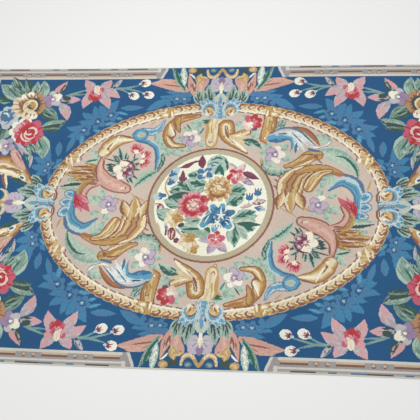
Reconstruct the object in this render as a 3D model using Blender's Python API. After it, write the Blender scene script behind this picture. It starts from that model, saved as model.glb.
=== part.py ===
"""A flat needlepoint rug: one sheet of wool-stitched canvas with an overcast edge all round.

Metres, +Z up. The rug lies flat on the surface at z = 0, with its length along X and its
width along Y. The origin is under the middle of the rug.
"""

import math

import bpy

# Overall size of the rug, its whipped edge included.
LENGTH = 2.480
WIDTH = 1.580
THICKNESS = 0.0045

# The overcast yarn rounds the rim, and the corners are turned in softly.
RIM_RADIUS = 0.0021
CORNER_RADIUS = 0.012
RIM_STEPS = 3

# Hand stitching pulls the canvas a little out of square: its rows and columns drift along
# one slow wave across the rug.
ROW_DRIFT = 0.004
COLUMN_DRIFT = 0.002

# How closely the outline is drawn.
POINTS_ON_LONG_SIDE = 28
POINTS_ON_SHORT_SIDE = 18
POINTS_ON_CORNER = 6

WOOL_BLUE = (0.055, 0.145, 0.300, 1.0)


def clear_scene():
    for old in list(bpy.data.objects):
        bpy.data.objects.remove(old, do_unlink=True)


def wool_material():
    wool = bpy.data.materials.new("wool_needlepoint")
    wool.use_nodes = True
    shader = wool.node_tree.nodes["Principled BSDF"]
    shader.inputs["Base Color"].default_value = WOOL_BLUE
    shader.inputs["Roughness"].default_value = 0.95
    shader.inputs["Metallic"].default_value = 0.0
    return wool


def drifted(x, y):
    """Where a point of the true rectangle lies on the hand-worked rug."""
    return (
        x + COLUMN_DRIFT * math.sin(2 * math.pi * y / WIDTH),
        y + ROW_DRIFT * math.sin(2 * math.pi * x / LENGTH),
    )


def straight_side(start, end, count):
    """Evenly spaced points from start, up to but not including end."""
    return [
        tuple(a + (b - a) * step / count for a, b in zip(start, end))
        for step in range(count)
    ]


def round_corner(centre, first_angle):
    """Points on a quarter circle, up to but not including its end."""
    angles = [
        first_angle + math.pi / 2 * step / POINTS_ON_CORNER
        for step in range(POINTS_ON_CORNER)
    ]
    return [
        (centre[0] + CORNER_RADIUS * math.cos(a), centre[1] + CORNER_RADIUS * math.sin(a))
        for a in angles
    ]


def rug_outline():
    """The rug's edge as seen from above, anticlockwise from the lower left corner."""
    # The drift moves the furthest points out, so the true rectangle is that much smaller.
    half_length = LENGTH / 2 - COLUMN_DRIFT
    half_width = WIDTH / 2 - ROW_DRIFT
    inner_x = half_length - CORNER_RADIUS
    inner_y = half_width - CORNER_RADIUS
    points = []
    points += straight_side((-inner_x, -half_width), (inner_x, -half_width), POINTS_ON_LONG_SIDE)
    points += round_corner((inner_x, -inner_y), -math.pi / 2)
    points += straight_side((half_length, -inner_y), (half_length, inner_y), POINTS_ON_SHORT_SIDE)
    points += round_corner((inner_x, inner_y), 0)
    points += straight_side((inner_x, half_width), (-inner_x, half_width), POINTS_ON_LONG_SIDE)
    points += round_corner((-inner_x, inner_y), math.pi / 2)
    points += straight_side((-half_length, inner_y), (-half_length, -inner_y), POINTS_ON_SHORT_SIDE)
    points += round_corner((-inner_x, -inner_y), math.pi)
    return [drifted(x, y) for x, y in points]


def make_rug(collection):
    """The whole rug as one flat outline, extruded and with its rim rounded."""
    outline = bpy.data.curves.new("rug", "CURVE")
    outline.dimensions = "2D"
    outline.fill_mode = "BOTH"
    outline.extrude = THICKNESS / 2 - RIM_RADIUS
    outline.bevel_depth = RIM_RADIUS
    outline.bevel_resolution = RIM_STEPS
    outline.offset = -RIM_RADIUS
    spline = outline.splines.new("POLY")
    points = rug_outline()
    spline.points.add(len(points) - 1)
    for point, (x, y) in zip(spline.points, points):
        point.co = (x, y, 0.0, 1.0)
    spline.use_cyclic_u = True
    rug = bpy.data.objects.new("rug", outline)
    rug.location = (0.0, 0.0, THICKNESS / 2)
    rug.data.materials.append(wool_material())
    collection.objects.link(rug)
    return rug


def main():
    clear_scene()
    collection = bpy.data.collections.new("needlepoint_rug")
    bpy.context.scene.collection.children.link(collection)
    make_rug(collection)


main()
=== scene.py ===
# %% [markdown]
# # A needlepoint rug, worked stitch by stitch
#
# A flat wool rug in tent stitch: a blue field with flower sprays, a laurel wreath round a rose-beige
# oval full of scrolls, and a round cream centre with a bouquet. The rug lies on the floor, its length
# along X. We chart the design in centimetres from the rug's middle, work one coloured stitch for each
# square of the canvas, and then bind the edge.

import math

import bpy
import numpy as np
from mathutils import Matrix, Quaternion, Vector


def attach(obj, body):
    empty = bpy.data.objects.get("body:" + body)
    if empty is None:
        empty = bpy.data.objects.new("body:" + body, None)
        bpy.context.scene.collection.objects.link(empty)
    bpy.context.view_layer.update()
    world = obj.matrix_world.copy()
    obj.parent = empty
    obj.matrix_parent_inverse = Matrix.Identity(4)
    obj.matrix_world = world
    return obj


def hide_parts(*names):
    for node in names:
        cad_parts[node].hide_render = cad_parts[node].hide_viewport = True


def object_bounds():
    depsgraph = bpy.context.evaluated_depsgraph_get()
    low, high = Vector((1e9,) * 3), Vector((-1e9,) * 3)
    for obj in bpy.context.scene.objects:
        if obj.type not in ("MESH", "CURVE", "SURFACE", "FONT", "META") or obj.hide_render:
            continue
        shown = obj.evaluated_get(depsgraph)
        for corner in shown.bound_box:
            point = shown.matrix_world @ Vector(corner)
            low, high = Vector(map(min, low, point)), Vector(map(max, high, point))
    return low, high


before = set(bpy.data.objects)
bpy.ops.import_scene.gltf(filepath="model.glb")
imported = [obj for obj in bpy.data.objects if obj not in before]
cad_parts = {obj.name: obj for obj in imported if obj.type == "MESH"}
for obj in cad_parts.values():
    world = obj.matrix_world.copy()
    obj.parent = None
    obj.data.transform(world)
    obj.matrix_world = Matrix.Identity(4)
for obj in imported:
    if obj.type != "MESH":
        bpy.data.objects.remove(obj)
cad_low, cad_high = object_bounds()
print("solid rug, mm:", [round(1000 * (h - l), 1) for l, h in zip(cad_low, cad_high)])

# %% [markdown]
# ## Measures
#
# Everything is drawn from these sizes. The canvas is about eight stitches to the inch, so one stitch
# is 3.2 mm. Hand work pulls a rug a few millimetres out of square, and the same slow drift that bends
# the solid's outline carries the stitches.

# %% Sizes of the rug, in metres
LENGTH, WIDTH = (round(cad_high[axis] - cad_low[axis], 3) for axis in (0, 1))
THICKNESS = round(cad_high[2] - cad_low[2], 4)
ROW_DRIFT = 0.004
COLUMN_DRIFT = 0.002
EDGE_BINDING = 0.004
STITCH = 0.0032
COLUMNS = int((LENGTH - 2 * COLUMN_DRIFT - 2 * EDGE_BINDING) / STITCH)
ROWS = int((WIDTH - 2 * ROW_DRIFT - 2 * EDGE_BINDING) / STITCH)
print("stitches:", COLUMNS, "x", ROWS, "=", COLUMNS * ROWS)

# %% [markdown]
# ## The wools
#
# Named as a maker would name the skeins. Colours are plain 0-255 values.

# %% Skeins of wool
SKEINS = {
    "field": (45, 92, 136),
    "field shade": (41, 84, 129),
    "tonal": (72, 137, 176),
    "tonal grey": (88, 128, 166),
    "tonal light": (104, 161, 188),
    "dot": (178, 208, 215),
    "oval ground": (215, 197, 182),
    "centre cream": (253, 251, 229),
    "tan": (195, 184, 157),
    "brown": (148, 101, 84),
    "rust": (178, 122, 84),
    "dark gold": (178, 135, 80),
    "gold": (200, 163, 104),
    "tan rose": (186, 146, 108),
    "pale gold": (219, 197, 150),
    "cream": (238, 224, 190),
    "ivory": (249, 244, 222),
    "pale mint": (203, 213, 192),
    "mint": (178, 203, 187),
    "sage": (151, 177, 162),
    "deep sage": (116, 150, 138),
    "stem": (127, 163, 160),
    "pine": (60, 110, 96),
    "charcoal green": (72, 88, 86),
    "deep crimson": (166, 58, 66),
    "crimson": (190, 66, 72),
    "rose": (204, 104, 122),
    "pink": (224, 165, 165),
    "soft pink": (217, 173, 177),
    "blush": (238, 206, 197),
    "salmon": (214, 168, 154),
    "peach": (225, 188, 172),
    "lilac": (165, 142, 170),
    "pale lilac": (200, 184, 201),
    "grey lilac": (180, 174, 181),
    "violet": (152, 128, 163),
    "silver": (198, 197, 199),
    "plum": (134, 84, 106),
    "maroon": (128, 68, 84),
    "navy": (52, 86, 122),
    "deep blue": (68, 124, 164),
    "sky": (103, 167, 195),
    "slate": (92, 125, 156),
    "ice": (197, 214, 218),
    "white": (246, 246, 234),
    "band white": (216, 214, 204),
    "band grey": (165, 160, 160),
    "band light": (184, 184, 178),
    "maroon brown": (104, 84, 82),
    "bar brown": (133, 99, 85),
    "beige": (205, 182, 157),
}
WOOL = {name: number for number, name in enumerate(SKEINS)}

SAGES = ("deep sage", "sage", "sage", "mint")
MINTS = ("sage", "mint", "pale mint")
LEAF_GREENS = ("mint", "sage", "pine")
PINES = ("charcoal green", "pine", "pine", "sage")
SALMONS = ("salmon", "peach", "salmon")
GREY_TONALS = ("tonal", "tonal grey")
SKIES = ("deep blue", "sky", "sky", "ice")
print("skeins:", len(SKEINS))

# %% [markdown]
# ## The chart and the hand tools
#
# The chart holds one skein number for every stitch. `facing` turns the work: a motif drawn once at the
# upper left is worked again with x, y or both turned over, as a mirrored design is.

# %% The empty chart
chart = np.full((ROWS, COLUMNS), WOOL["field"], dtype=np.int16)
across_cm = (np.arange(COLUMNS) - (COLUMNS - 1) / 2) * STITCH * 100
up_cm = (np.arange(ROWS) - (ROWS - 1) / 2) * STITCH * 100
facing = {"x": 1, "y": 1, "turned": 0}
TURNED_OUT_CM = 28.5
QUARTERS = ((1, 1), (-1, 1), (1, -1), (-1, -1))


def turn_work(x, y, turned=0):
    """Work the next motifs turned over in x or y; `turned` moves the top pole round to the left one,
    widened by that much."""
    facing.update(x=x, y=y, turned=turned)


def stitches_in(x_low, x_high, y_low, y_high):
    """The part of the chart inside a box of the design, with each stitch's design position in cm."""
    fx, fy, spread = facing["x"], facing["y"], facing["turned"]
    if spread:
        x_low, x_high, y_low, y_high = (-y_high - TURNED_OUT_CM, -y_low - TURNED_OUT_CM,
                                        -x_high * spread, -x_low * spread)
    columns = np.searchsorted(across_cm, sorted((fx * x_low, fx * x_high)))
    rows = np.searchsorted(up_cm, sorted((fy * y_low, fy * y_high)))
    part = (slice(*rows), slice(*columns))
    x, y = np.meshgrid(across_cm[part[1]] * fx, up_cm[part[0]] * fy)
    if spread:
        x, y = -y / spread, -x - TURNED_OUT_CM
    return part, x, y


def tooth(streak, seed=0):
    """A steady random number from -1 to 1 for each whole-numbered streak of stitches."""
    noise = np.sin(np.floor(streak) * 12.9898 + seed * 78.233) * 43758.5453
    return 2.0 * (noise - np.floor(noise)) - 1.0


def lay(part, mask, wools, value=0.0):
    """Work the masked stitches; value 0 takes the first wool of the run and 1 the last."""
    if isinstance(wools, str):
        wools = (wools,)
    run = np.array([WOOL[name] for name in wools])
    step = np.clip((value * len(run) + np.zeros(mask.shape)).astype(int), 0, len(run) - 1)
    chart[part][mask] = run[step[mask]]


print("chart, cm:", round(across_cm[-1] - across_cm[0], 1), "x", round(up_cm[-1] - up_cm[0], 1))

# %% Smooth lines and arcs
LINE_STEP_CM = 0.2


def curve(path):
    """A smooth line through a few points: positions, share of the way, direction and length."""
    points = np.array(path, dtype=float)
    if len(points) == 2:
        points = np.array([points[0], points.mean(axis=0), points[1]])
    ends = np.vstack([2 * points[0] - points[1], points, 2 * points[-1] - points[-2]])
    line = []
    for a, b, c, d in zip(ends[:-3], ends[1:-2], ends[2:-1], ends[3:]):
        count = max(2, int(math.dist(b, c) / LINE_STEP_CM))
        t = np.linspace(0, 1, count, endpoint=False)[:, None]
        line.append(0.5 * (2 * b + (c - a) * t + (2 * a - 5 * b + 4 * c - d) * t**2
                           + (3 * b - a - 3 * c + d) * t**3))
    line = np.vstack(line + [points[-1:]])
    gone = np.concatenate([[0], np.cumsum(np.hypot(*np.diff(line, axis=0).T))])
    way = np.gradient(line, axis=0)
    way /= np.maximum(np.hypot(*way.T), 1e-9)[:, None]
    return line, gone / gone[-1], way, gone[-1]


def arc(x, y, radius, first, last, count):
    """Points on part of a circle, angles in degrees."""
    angles = np.radians(np.linspace(first, last, count))
    return [(x + radius * math.cos(a), y + radius * math.sin(a)) for a in angles]


def around(x, y, radius, angle):
    """The point at one angle round a middle."""
    return arc(x, y, radius, angle, angle, 1)[0]


print("a quarter of a 10 cm circle, cm:", round(curve(arc(0, 0, 10, 0, 90, 5))[3], 2))

# %% [markdown]
# ## One tongue of stitches
#
# Leaves, petals, stems and scrolls are all a tongue: a bent line with a half-width at each place along
# it. Its wools run in from the edge, across from right to left, or from start to end, and the seam
# between two shades is broken into teeth, as hand shading is.

# %% The tongue, the leaf and the petal
def tongue(path, widths, wools, by="edge", outline=None, rim=0.42, fray=0.3,
           streak=0.55, slant=0.0, saw=0.0, saw_step=1.5, seed=1):
    """The basic motif: a path and half-widths in cm, its wools and the way that they run."""
    line, share, way, length = curve(path)
    widths = np.atleast_1d(np.array(widths, dtype=float))
    reach = widths.max() + 0.3
    low, high = line.min(axis=0) - reach, line.max(axis=0) + reach
    part, x, y = stitches_in(low[0], high[0], low[1], high[1])
    if x.size == 0:
        return
    square = (x[..., None] - line[:, 0]) ** 2 + (y[..., None] - line[:, 1]) ** 2
    near = square.argmin(axis=-1)
    far = np.sqrt(np.take_along_axis(square, near[..., None], axis=-1)[..., 0])
    along = share[near]
    side = way[near, 0] * (y - line[near, 1]) - way[near, 1] * (x - line[near, 0])
    half = np.interp(along, np.linspace(0, 1, len(widths)), widths)
    if saw:
        half = half * (1 - saw * (1 - (along * length / saw_step) % 1.0))
    mask = far <= half
    offset = np.clip(side / np.maximum(half, 0.05), -1, 1)
    if by == "edge":
        value, rays = 1 - np.abs(offset), along * length - slant * np.abs(side) + 40 * (side > 0)
    elif by == "side":
        value, rays = (1 + offset) / 2, along * length - slant * np.abs(side)
    else:
        value, rays = along, side + 30
    lay(part, mask, wools, value + fray * tooth(rays / streak, seed))
    if outline:
        lay(part, mask & (far > half - rim), outline)


def leaf(x0, y0, x1, y1, width, wools, bend=0.0, slant=0.9, **how):
    """A pointed leaf from base to tip; bend bows it to its left by that share of its length."""
    dx, dy = x1 - x0, y1 - y0
    middle = (x0 + dx / 2 - bend * dy, y0 + dy / 2 + bend * dx)
    shape = [s * width / 2 for s in (0.35, 0.85, 1.0, 0.88, 0.55, 0.05)]
    tongue([(x0, y0), middle, (x1, y1)], shape, wools, slant=slant, **how)


def striped(x0, y0, x1, y1, width, wools, bend=0.0):
    """A leaf striped along its length, with long slanting teeth between the shades."""
    leaf(x0, y0, x1, y1, width, wools, bend=bend, by="side", slant=3.2, fray=0.22, streak=1.3)


def stroke(wool, half, points):
    """One plain tapered stroke."""
    tongue(points, (0.45 * half, half, half, half, 0.35 * half), wool)


def strokes(wool, *lines):
    """Plain tapered strokes of one wool; each is its half-width and then x, y of its points."""
    for half, *numbers in lines:
        stroke(wool, half, list(zip(numbers[::2], numbers[1::2])))


DISC_STREAK_CM = 0.5
DISC_SEED = 2
SHAPES = {"swell": (0.3, 0.8, 1.0, 1.0, 0.75, 0.2), "taper": (0.9, 1.0, 0.95, 0.8, 0.5, 0.1),
          "band": (0.85, 1.0, 1.0, 0.85), "club": (0.25, 0.5, 0.8, 1.0, 0.85),
          "knob": (0.2, 0.4, 0.8, 1.0, 0.95, 0.6)}


def scroll(path, half, wools, shape="swell", line="brown", line_cm=0.5, **how):
    """A scroll between two thin lines: its few guide points, its half-width and one of the usual shapes."""
    widths = half * np.array(SHAPES[shape])
    if line:
        tongue(path, widths + line_cm, line)
    tongue(path, widths, wools, **{"by": "side", "fray": 0.2, "streak": 1.5, **how})


def petal(x, y, turn, length, width, wools, start=0.0, fray=0.3, **how):
    """A rounded petal at an angle in degrees, its wools running from the base to the tip."""
    c, s = math.cos(math.radians(turn)), math.sin(math.radians(turn))
    end = length - 0.32 * width
    shape = [k * width / 2 for k in (0.3, 0.75, 1.0, 0.95, 0.72)]
    path = [(x + start * c, y + start * s), (x + end * c, y + end * s)]
    tongue(path, shape, wools, by="along", fray=fray, **how)


def disc(x, y, rx, ry, wools, turn=0.0, by="rim", fray=0.2, outline=None, rim=0.4, fullness=2):
    """An oval patch, shaded in from its rim or from one side to the other; fullness squares it off."""
    reach = max(rx, ry) + 0.3
    part, gx, gy = stitches_in(x - reach, x + reach, y - reach, y + reach)
    c, s = math.cos(math.radians(turn)), math.sin(math.radians(turn))
    u, v = (gx - x) * c + (gy - y) * s, (gy - y) * c - (gx - x) * s
    far = (np.abs(u / rx) ** fullness + np.abs(v / ry) ** fullness) ** (1 / fullness)
    mask = far <= 1
    if by == "rim":
        value, rays = 1 - far, np.arctan2(v, u) * max(rx, ry) / 2 + 50
    else:
        value, rays = (1 + u / rx) / 2, v + 30
    lay(part, mask, wools, value + fray * tooth(rays / DISC_STREAK_CM, DISC_SEED))
    if outline:
        lay(part, mask & (far > 1 - rim / max(rx, ry)), outline)


print("scroll shapes:", ", ".join(SHAPES))

# %% [markdown]
# ## Flowers
#
# Each kind of flower is drawn once: five-petalled pansies, full roses and round buds.

# %% Kinds of flower
def pansy(x, y, radius, petals, turn=90, heart="plum", eye="white", rim=0.3):
    """Five round petals, each with its own run of wools, and a light eye in a dark heart."""
    for number, wools in enumerate(petals):
        petal(x, y, turn + 72 * number, radius, radius * 1.08, wools, fray=0.22, outline=wools[0], rim=rim)
    for number in range(5):
        leaf(x, y, *around(x, y, radius * 0.5, turn + 36 + 72 * number), 0.5, heart)
        leaf(x, y, *around(x, y, radius * 0.4, turn + 72 * number), 0.6, heart)
    disc(x, y, radius * 0.15, radius * 0.15, eye)


def bud(x, y, turn, radius):
    """A round white bud with maroon rays reaching up from its small pale cup."""
    c, s = math.cos(math.radians(turn)), math.sin(math.radians(turn))
    disc(x, y, radius * 1.1, radius * 0.92, ("white", "ivory", "white"), turn=turn, fray=0.3)
    disc(x + 0.3 * radius * c, y + 0.3 * radius * s, radius * 0.55, radius * 0.45, "blush", turn=turn)
    disc(x + 0.55 * radius * c, y + 0.55 * radius * s, radius * 0.5, radius * 0.45, "white", turn=turn)
    base_x, base_y = x - 1.15 * radius * c, y - 1.15 * radius * s
    for lean, reach, wool in (
            (-38, 1.1, "plum"), (34, 1.05, "plum"), (-13, 1.35, "maroon"), (12, 1.3, "maroon")):
        leaf(base_x, base_y, *around(base_x, base_y, radius * reach, turn + lean), radius * 0.34, wool)
    disc(base_x, base_y, radius * 0.34, radius * 0.28, "ice", turn=turn)


def tonal_blossom(x, y, radius, turn=90):
    """A blossom in blues close to the ground colour, with a light dot at its heart."""
    for number in range(5):
        petal(x, y, turn + 72 * number, radius, radius * 0.9,
              ("field", "field shade", "tonal", "tonal grey"), fray=0.3, outline="tonal grey", rim=0.3,
              seed=number)
    disc(x, y, 0.75, 0.75, "dot")
    strokes("tonal grey", *((0.14, x, y, *around(x, y, radius * 0.6,
                                                 turn + 36 + 72 * number)) for number in range(5)))


def rose(x, y, petals, streak=0.5):
    """A full-blown rose: one petal after another, each with its angle, reach, width and wools."""
    for number, (turn, reach, width, wools) in enumerate(petals):
        petal(x, y, turn, reach, width, wools, start=0.3 * reach, fray=0.32, streak=streak,
              seed=11 + number)


print("kinds of flower: pansy, bud, tonal blossom and rose")

# %% [markdown]
# ## Grounds
#
# First the guard border and the blue field, then the rose-beige oval, all by plain geometry.

# %% Guard border and blue field
# Measures of the border run inwards from its outer line; bars and beads repeat along it.
x_all, y_all = np.meshgrid(across_cm, up_cm)
HALF_LENGTH_CM, HALF_WIDTH_CM = LENGTH * 50, WIDTH * 50
OUTER_BAND_CM = 2.0
BORDER_CM = 5.4
LINE_CM = 1.25
BAR_REPEAT_CM = 23.5
BAR_HALF_CM = 5.9
BAR_ROWS_CM = (2.2, 3.05, 3.9)
FIRST_BAR_CM = 40.2
BARS_FROM_CM = -8.0
BEAD_FROM_BAR_CM = 9.4
BEAD_DEPTH_CM = 2.9
BEAD_HALF_CM = (1.05, 1.1)
OUTER_LINE_CM = 0.1
OUTER_ROW_CM = -0.35
DASHES_END_CM = -1.4

from_edge = np.minimum(HALF_LENGTH_CM - np.abs(x_all), HALF_WIDTH_CM - np.abs(y_all)) - OUTER_BAND_CM
on_long_side = HALF_WIDTH_CM - np.abs(y_all) < HALF_LENGTH_CM - np.abs(x_all)
run_cm = np.where(on_long_side, np.abs(x_all) - FIRST_BAR_CM, np.abs(y_all))
border = from_edge < BORDER_CM
from_bar = np.abs((run_cm + BAR_REPEAT_CM / 2) % BAR_REPEAT_CM - BAR_REPEAT_CM / 2)
bar = border & (from_bar < BAR_HALF_CM) & ((run_cm > BARS_FROM_CM) | ~on_long_side)
bead = np.hypot((from_bar - BEAD_FROM_BAR_CM) / BEAD_HALF_CM[0],
                (from_edge - BEAD_DEPTH_CM) / BEAD_HALF_CM[1])
whole = (slice(None), slice(None))
lay(whole, border, "band grey")
outer, middle, inner = BAR_ROWS_CM
lay(whole, bar & (from_edge > outer) & (from_edge < middle), "bar brown")
lay(whole, bar & (from_edge >= middle) & (from_edge < inner), "beige")
lay(whole, border & (bead < 1.0), "bar brown")
lay(whole, border & (bead < 0.8) & (from_edge > BEAD_DEPTH_CM - 0.4), "beige")
lay(whole, border & (from_edge > BORDER_CM - LINE_CM), "band white")
lay(whole, border & (from_edge < LINE_CM), "band white")
lay(whole, border & (from_edge < OUTER_LINE_CM), "band grey")
lay(whole, border & (from_edge < OUTER_ROW_CM), "band light")

# The outermost band shows its first row of dashes: where each kind starts, its repeat and its length.
dash_run = np.where(on_long_side, np.abs(x_all), np.abs(y_all))
dashes = (from_edge < OUTER_ROW_CM) & (from_edge > DASHES_END_CM)
for start, repeat, length, dash_wool in (
        (70.5, 31.5, 10.5, "maroon brown"), (86, 31.5, 3.5, "slate"), (64, 63, 6.5, "slate")):
    lay(whole, dashes & ((dash_run - start) % repeat < length), dash_wool)

# The field breaks out through the border at the middle of each long side, between two pale posts.
BREAK_HALF_CM = 28.0
BREAK_FLARE = 0.45
BREAK_GREY_CM, BREAK_WHITE_CM = 3.4, 1.4
BREAK_POST_CM = 32.6
BREAK_POST_HALF_CM = 0.7
BREAK_POST_DEPTH_CM = 1.6

from_middle = np.abs(x_all)
break_half = BREAK_HALF_CM + BREAK_FLARE * np.maximum(from_edge, 0)
post = (np.abs(from_middle - BREAK_POST_CM) < BREAK_POST_HALF_CM) & (from_edge < BREAK_POST_DEPTH_CM)
lay(whole, border & on_long_side & (from_middle < break_half + BREAK_GREY_CM), "band grey")
lay(whole, border & on_long_side & (from_middle < break_half + BREAK_WHITE_CM), "band white")
lay(whole, border & on_long_side & post, "band white")
lay(whole, border & on_long_side & (from_middle < break_half), "field")
print("border stitches:", int(border.sum()))

# %% The oval and its wreath band
OVAL_HALF_LENGTH_CM = 82.6
OVAL_HALF_WIDTH_CM = 57.0
OVAL_FULLNESS = 2.03
WREATH_CM = 5.9


def oval(grow):
    """Below 1 inside the oval, grown outwards by some centimetres; it is fuller than an ellipse."""
    return ((np.abs(x_all) / (OVAL_HALF_LENGTH_CM + grow)) ** OVAL_FULLNESS
            + (np.abs(y_all) / (OVAL_HALF_WIDTH_CM + grow)) ** OVAL_FULLNESS)


def garland():
    """Leaves and blossoms in blues close to the field, between the wreath and the corner sprays."""
    for x0, y0, x1, y1, width, bend in (
            (-61.5, 48, -70.2, 51.6, 5.2, 0.1), (-61, 46, -71.4, 46, 4.6, 0.05),
            (-60.5, 48, -64, 55.6, 5, 0.05), (-57, 48, -61.6, 56, 6.2, -0.05),
            (-54.6, 50.5, -51.4, 59, 5.4, 0.12), (-55.4, 51, -57.4, 57, 3, 0),
            (-66, 43, -76.8, 42.6, 5.4, 0.12), (-66, 41, -75.8, 37, 6, 0.05), (-67, 40, -71.2, 34.8, 4, 0),
            (-22, 61, -31.5, 60.8, 4, 0.1), (-16, 61.5, -28.5, 63.6, 4, 0), (-13.5, 61.5, -24, 62, 4, 0),
            (-25, 58.6, -31.5, 57, 4, 0), (-83.5, 23, -83, 30.5, 5.5, 0.1), (-84, 22, -91, 25.5, 4.5, 0),
            (-84, 20, -91.5, 20.5, 5, 0.1), (-84, 18, -88.5, 14.5, 4, 0), (-80, 16, -81, 12, 4, 0),
            (-79, 22, -76, 24.6, 3.4, 0)):
        leaf(x0, y0, x1, y1, width, ("tonal grey", "tonal", "tonal", "tonal"), by="side", bend=bend,
             fray=0.4, saw=0.22, saw_step=2.2, outline="field", rim=0.22)
    for x0, y0, x1, y1, width in (
            (-49.6, 54, -38.5, 54.3, 3.4), (-27, 58.5, -37, 52.5, 4.6), (-71.6, 36.6, -74.6, 28.2, 3),
            (-78.8, 33.4, -78.3, 25.6, 3.6), (-26, 57.5, -26, 54.5, 3), (-86.6, 28.8, -84, 25, 2.4)):
        leaf(x0, y0, x1, y1, width, GREY_TONALS, by="side", fray=0.4)
    for x0, y0, x1, y1, width in (
            (-51.6, 51.6, -45.8, 50, 2.0), (-52, 48.4, -48.4, 47.4, 2.2), (-57.5, 44.3, -51.5, 45.4, 2.4),
            (-62.6, 41, -57, 39.7, 2.2), (-68, 39, -67.6, 31.5, 2.8), (-79.5, 19, -76.8, 22, 2.0)):
        leaf(x0, y0, x1, y1, width, ("tonal", "tonal light"), fray=0.3)
    for x, y, radius, turn in (
            (-54.8, 49.8, 3.9, 300), (-61, 46, 4.4, 330), (-67.5, 41, 4.0, 320), (-22, 59.2, 3.2, 260),
            (-18.2, 59.2, 3.2, 280), (-82.7, 21.3, 3.2, 10), (-83.7, 17.8, 3.0, 330)):
        tonal_blossom(x, y, radius, turn)


for fx, fy in QUARTERS:
    turn_work(fx, fy)
    garland()
turn_work(1, 1)
lay(whole, oval(0) < 1, "oval ground")
print("oval, cm:", 2 * OVAL_HALF_LENGTH_CM, "x", 2 * OVAL_HALF_WIDTH_CM)

# %% [markdown]
# ## Inside the oval
#
# The scrolls and flowers of the oval read the same when the rug is turned half round, so the upper half
# is drawn once and worked twice. Pale leaves go in first, then scrolls, then flowers on top.

# %% Pale leaves of the oval
def pale_leaves():
    """The pale leaves that lie under the scrolls."""
    for x0, y0, x1, y1, width in (
            (-30.5, 37.5, -21, 25.5, 6.5), (-27, 33.5, -16, 25.5, 4.5), (-20, 31, -11.5, 29.2, 3.4),
            (-15, 35.5, -20.8, 35.3, 4), (-11, 39, -11.5, 47, 7), (-13, 33.5, -12.6, 29.3, 3.6),
            (-9.5, 34.5, -5.8, 31.3, 3.8), (-14.5, 39.5, -18.2, 43, 3), (-9, 39, -7, 43.6, 2.6),
            (12.6, 44, 7.6, 42.6, 5), (13.2, 46.2, 11, 49.4, 3.6), (16.8, 41, 19.8, 35.3, 5.4),
            (26, 29.5, 21.5, 33, 4.4), (25, 26.5, 20, 27.2, 3.4), (31, 29.5, 34, 33.4, 4.6),
            (31, 26, 37, 24.8, 5), (24, 23.5, 28.5, 20, 4), (54, 34.3, 46.5, 37.4, 5),
            (50.5, 29.4, 62.5, 28.6, 4.6), (55.5, 15.8, 50, 8.6, 7), (53.5, 4.5, 58, 6.4, 3.4),
            (52.5, -2, 59, -1.2, 5), (50.4, 5, 48, 8.4, 4), (-57, 25.2, -62.6, 29.4, 4),
            (-63.4, 11.6, -72.4, 12.8, 4.6), (-52.2, 3.4, -55, 8.8, 3.2), (-54.6, 1.2, -59.4, 4.4, 3.6),
            (-48, 2.8, -46.4, 5.4, 2.4), (-13.4, 45, -4, 47.8, 3.6), (-27.6, 30, -25, 25.4, 3)):
        leaf(x0, y0, x1, y1, width, ("sage", "mint", "mint", "pale mint"), by="side", fray=0.5, streak=0.7)
    tongue([(49.5, 28.9), (55, 27), (61, 23.8), (65.5, 18.8), (67.4, 14.3)], (1.2, 3.6, 3.8, 2.6, 0.3),
           ("mint", "pale mint", "mint", "sage"), by="side", fray=0.25)
    tongue([(57, 25.9), (60.5, 25.4), (64, 22.4), (66.2, 18.6), (67, 14.8)], (0.3, 0.7, 0.9, 0.7, 0.3),
           "pine", saw=0.4, saw_step=1.2)
    leaf(-64, 8.4, -74.6, 8.4, 3.4, ("pale mint", "mint", "sage"), by="side", fray=0.25)
    leaf(-62.2, 10.6, -74.8, 9, 2.4, "charcoal green", bend=-0.04, saw=0.5)
    leaf(-56.2, 24.2, -65.4, 22.2, 4.2, ("mint", "pale mint", "mint"), by="side", bend=0.03, fray=0.3)
    strokes("pine", (0.45, -57.8, 24.1, -60.6, 23.7, -63.8, 22.8), (0.2, -58.4, 25.4, -57.4, 26.8))
    leaf(12.2, 34.4, 21.8, 30, 5, ("pale mint", "mint", "sage", "pine", "pine"), by="side", fray=0.25,
         bend=0.08)
    strokes("pine", (0.4, 13, 33.6, 16, 31.8), (0.3, 17.4, 33.4, 20.6, 31))
    tongue([(22.8, 23.6), (23.5, 20), (26.5, 17.8), (30.5, 17.6), (34.9, 18.8)], (0.4, 1.6, 2.2, 2.2, 0.3),
           ("pine", "sage", "sage", "mint", "pale mint"), by="side", fray=0.22)
    leaf(28.4, 41.2, 32.9, 46.6, 4.4, SAGES, fray=0.5)
    strokes("charcoal green", (0.28, 28.8, 42, 31.4, 45.2), (0.2, 29.6, 41.8, 32.2, 44),
            (0.3, 48.8, 28.2, 49.2, 26, 48.8, 24, 50.6, 22))
    leaf(-25.4, 27.2, -28.8, 16, 4, ("pine", "sage", "mint", "sage", "pine"), by="side")
    strokes("charcoal green", (0.25, -26, 26.6, -26.6, 22.4, -28.2, 18))
    leaf(-28.6, 17.6, -38.4, 8.6, 5.6, ("mint", "mint", "sage", "pine", "mint", "mint"), by="side",
         bend=-0.08, fray=0.12)
    for x1, y1 in ((-8.4, 45.2), (-8.2, 46.8), (-5.4, 48.8)):
        leaf(-3, 45.2, x1, y1, 1.5, "pine")
    strokes("pine", (0.4, -15.8, 44.4, -14.8, 43, -13.4, 41.2), (0.3, -9, 38.6, -7.2, 42),
            (0.3, -8.4, 46.4, -6, 46.6))


print("pale leaves, ready to work")

# %% Gold scrolls of the oval
GOLD_SCROLL = ("dark gold", "gold", "pale gold", "gold")


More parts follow.
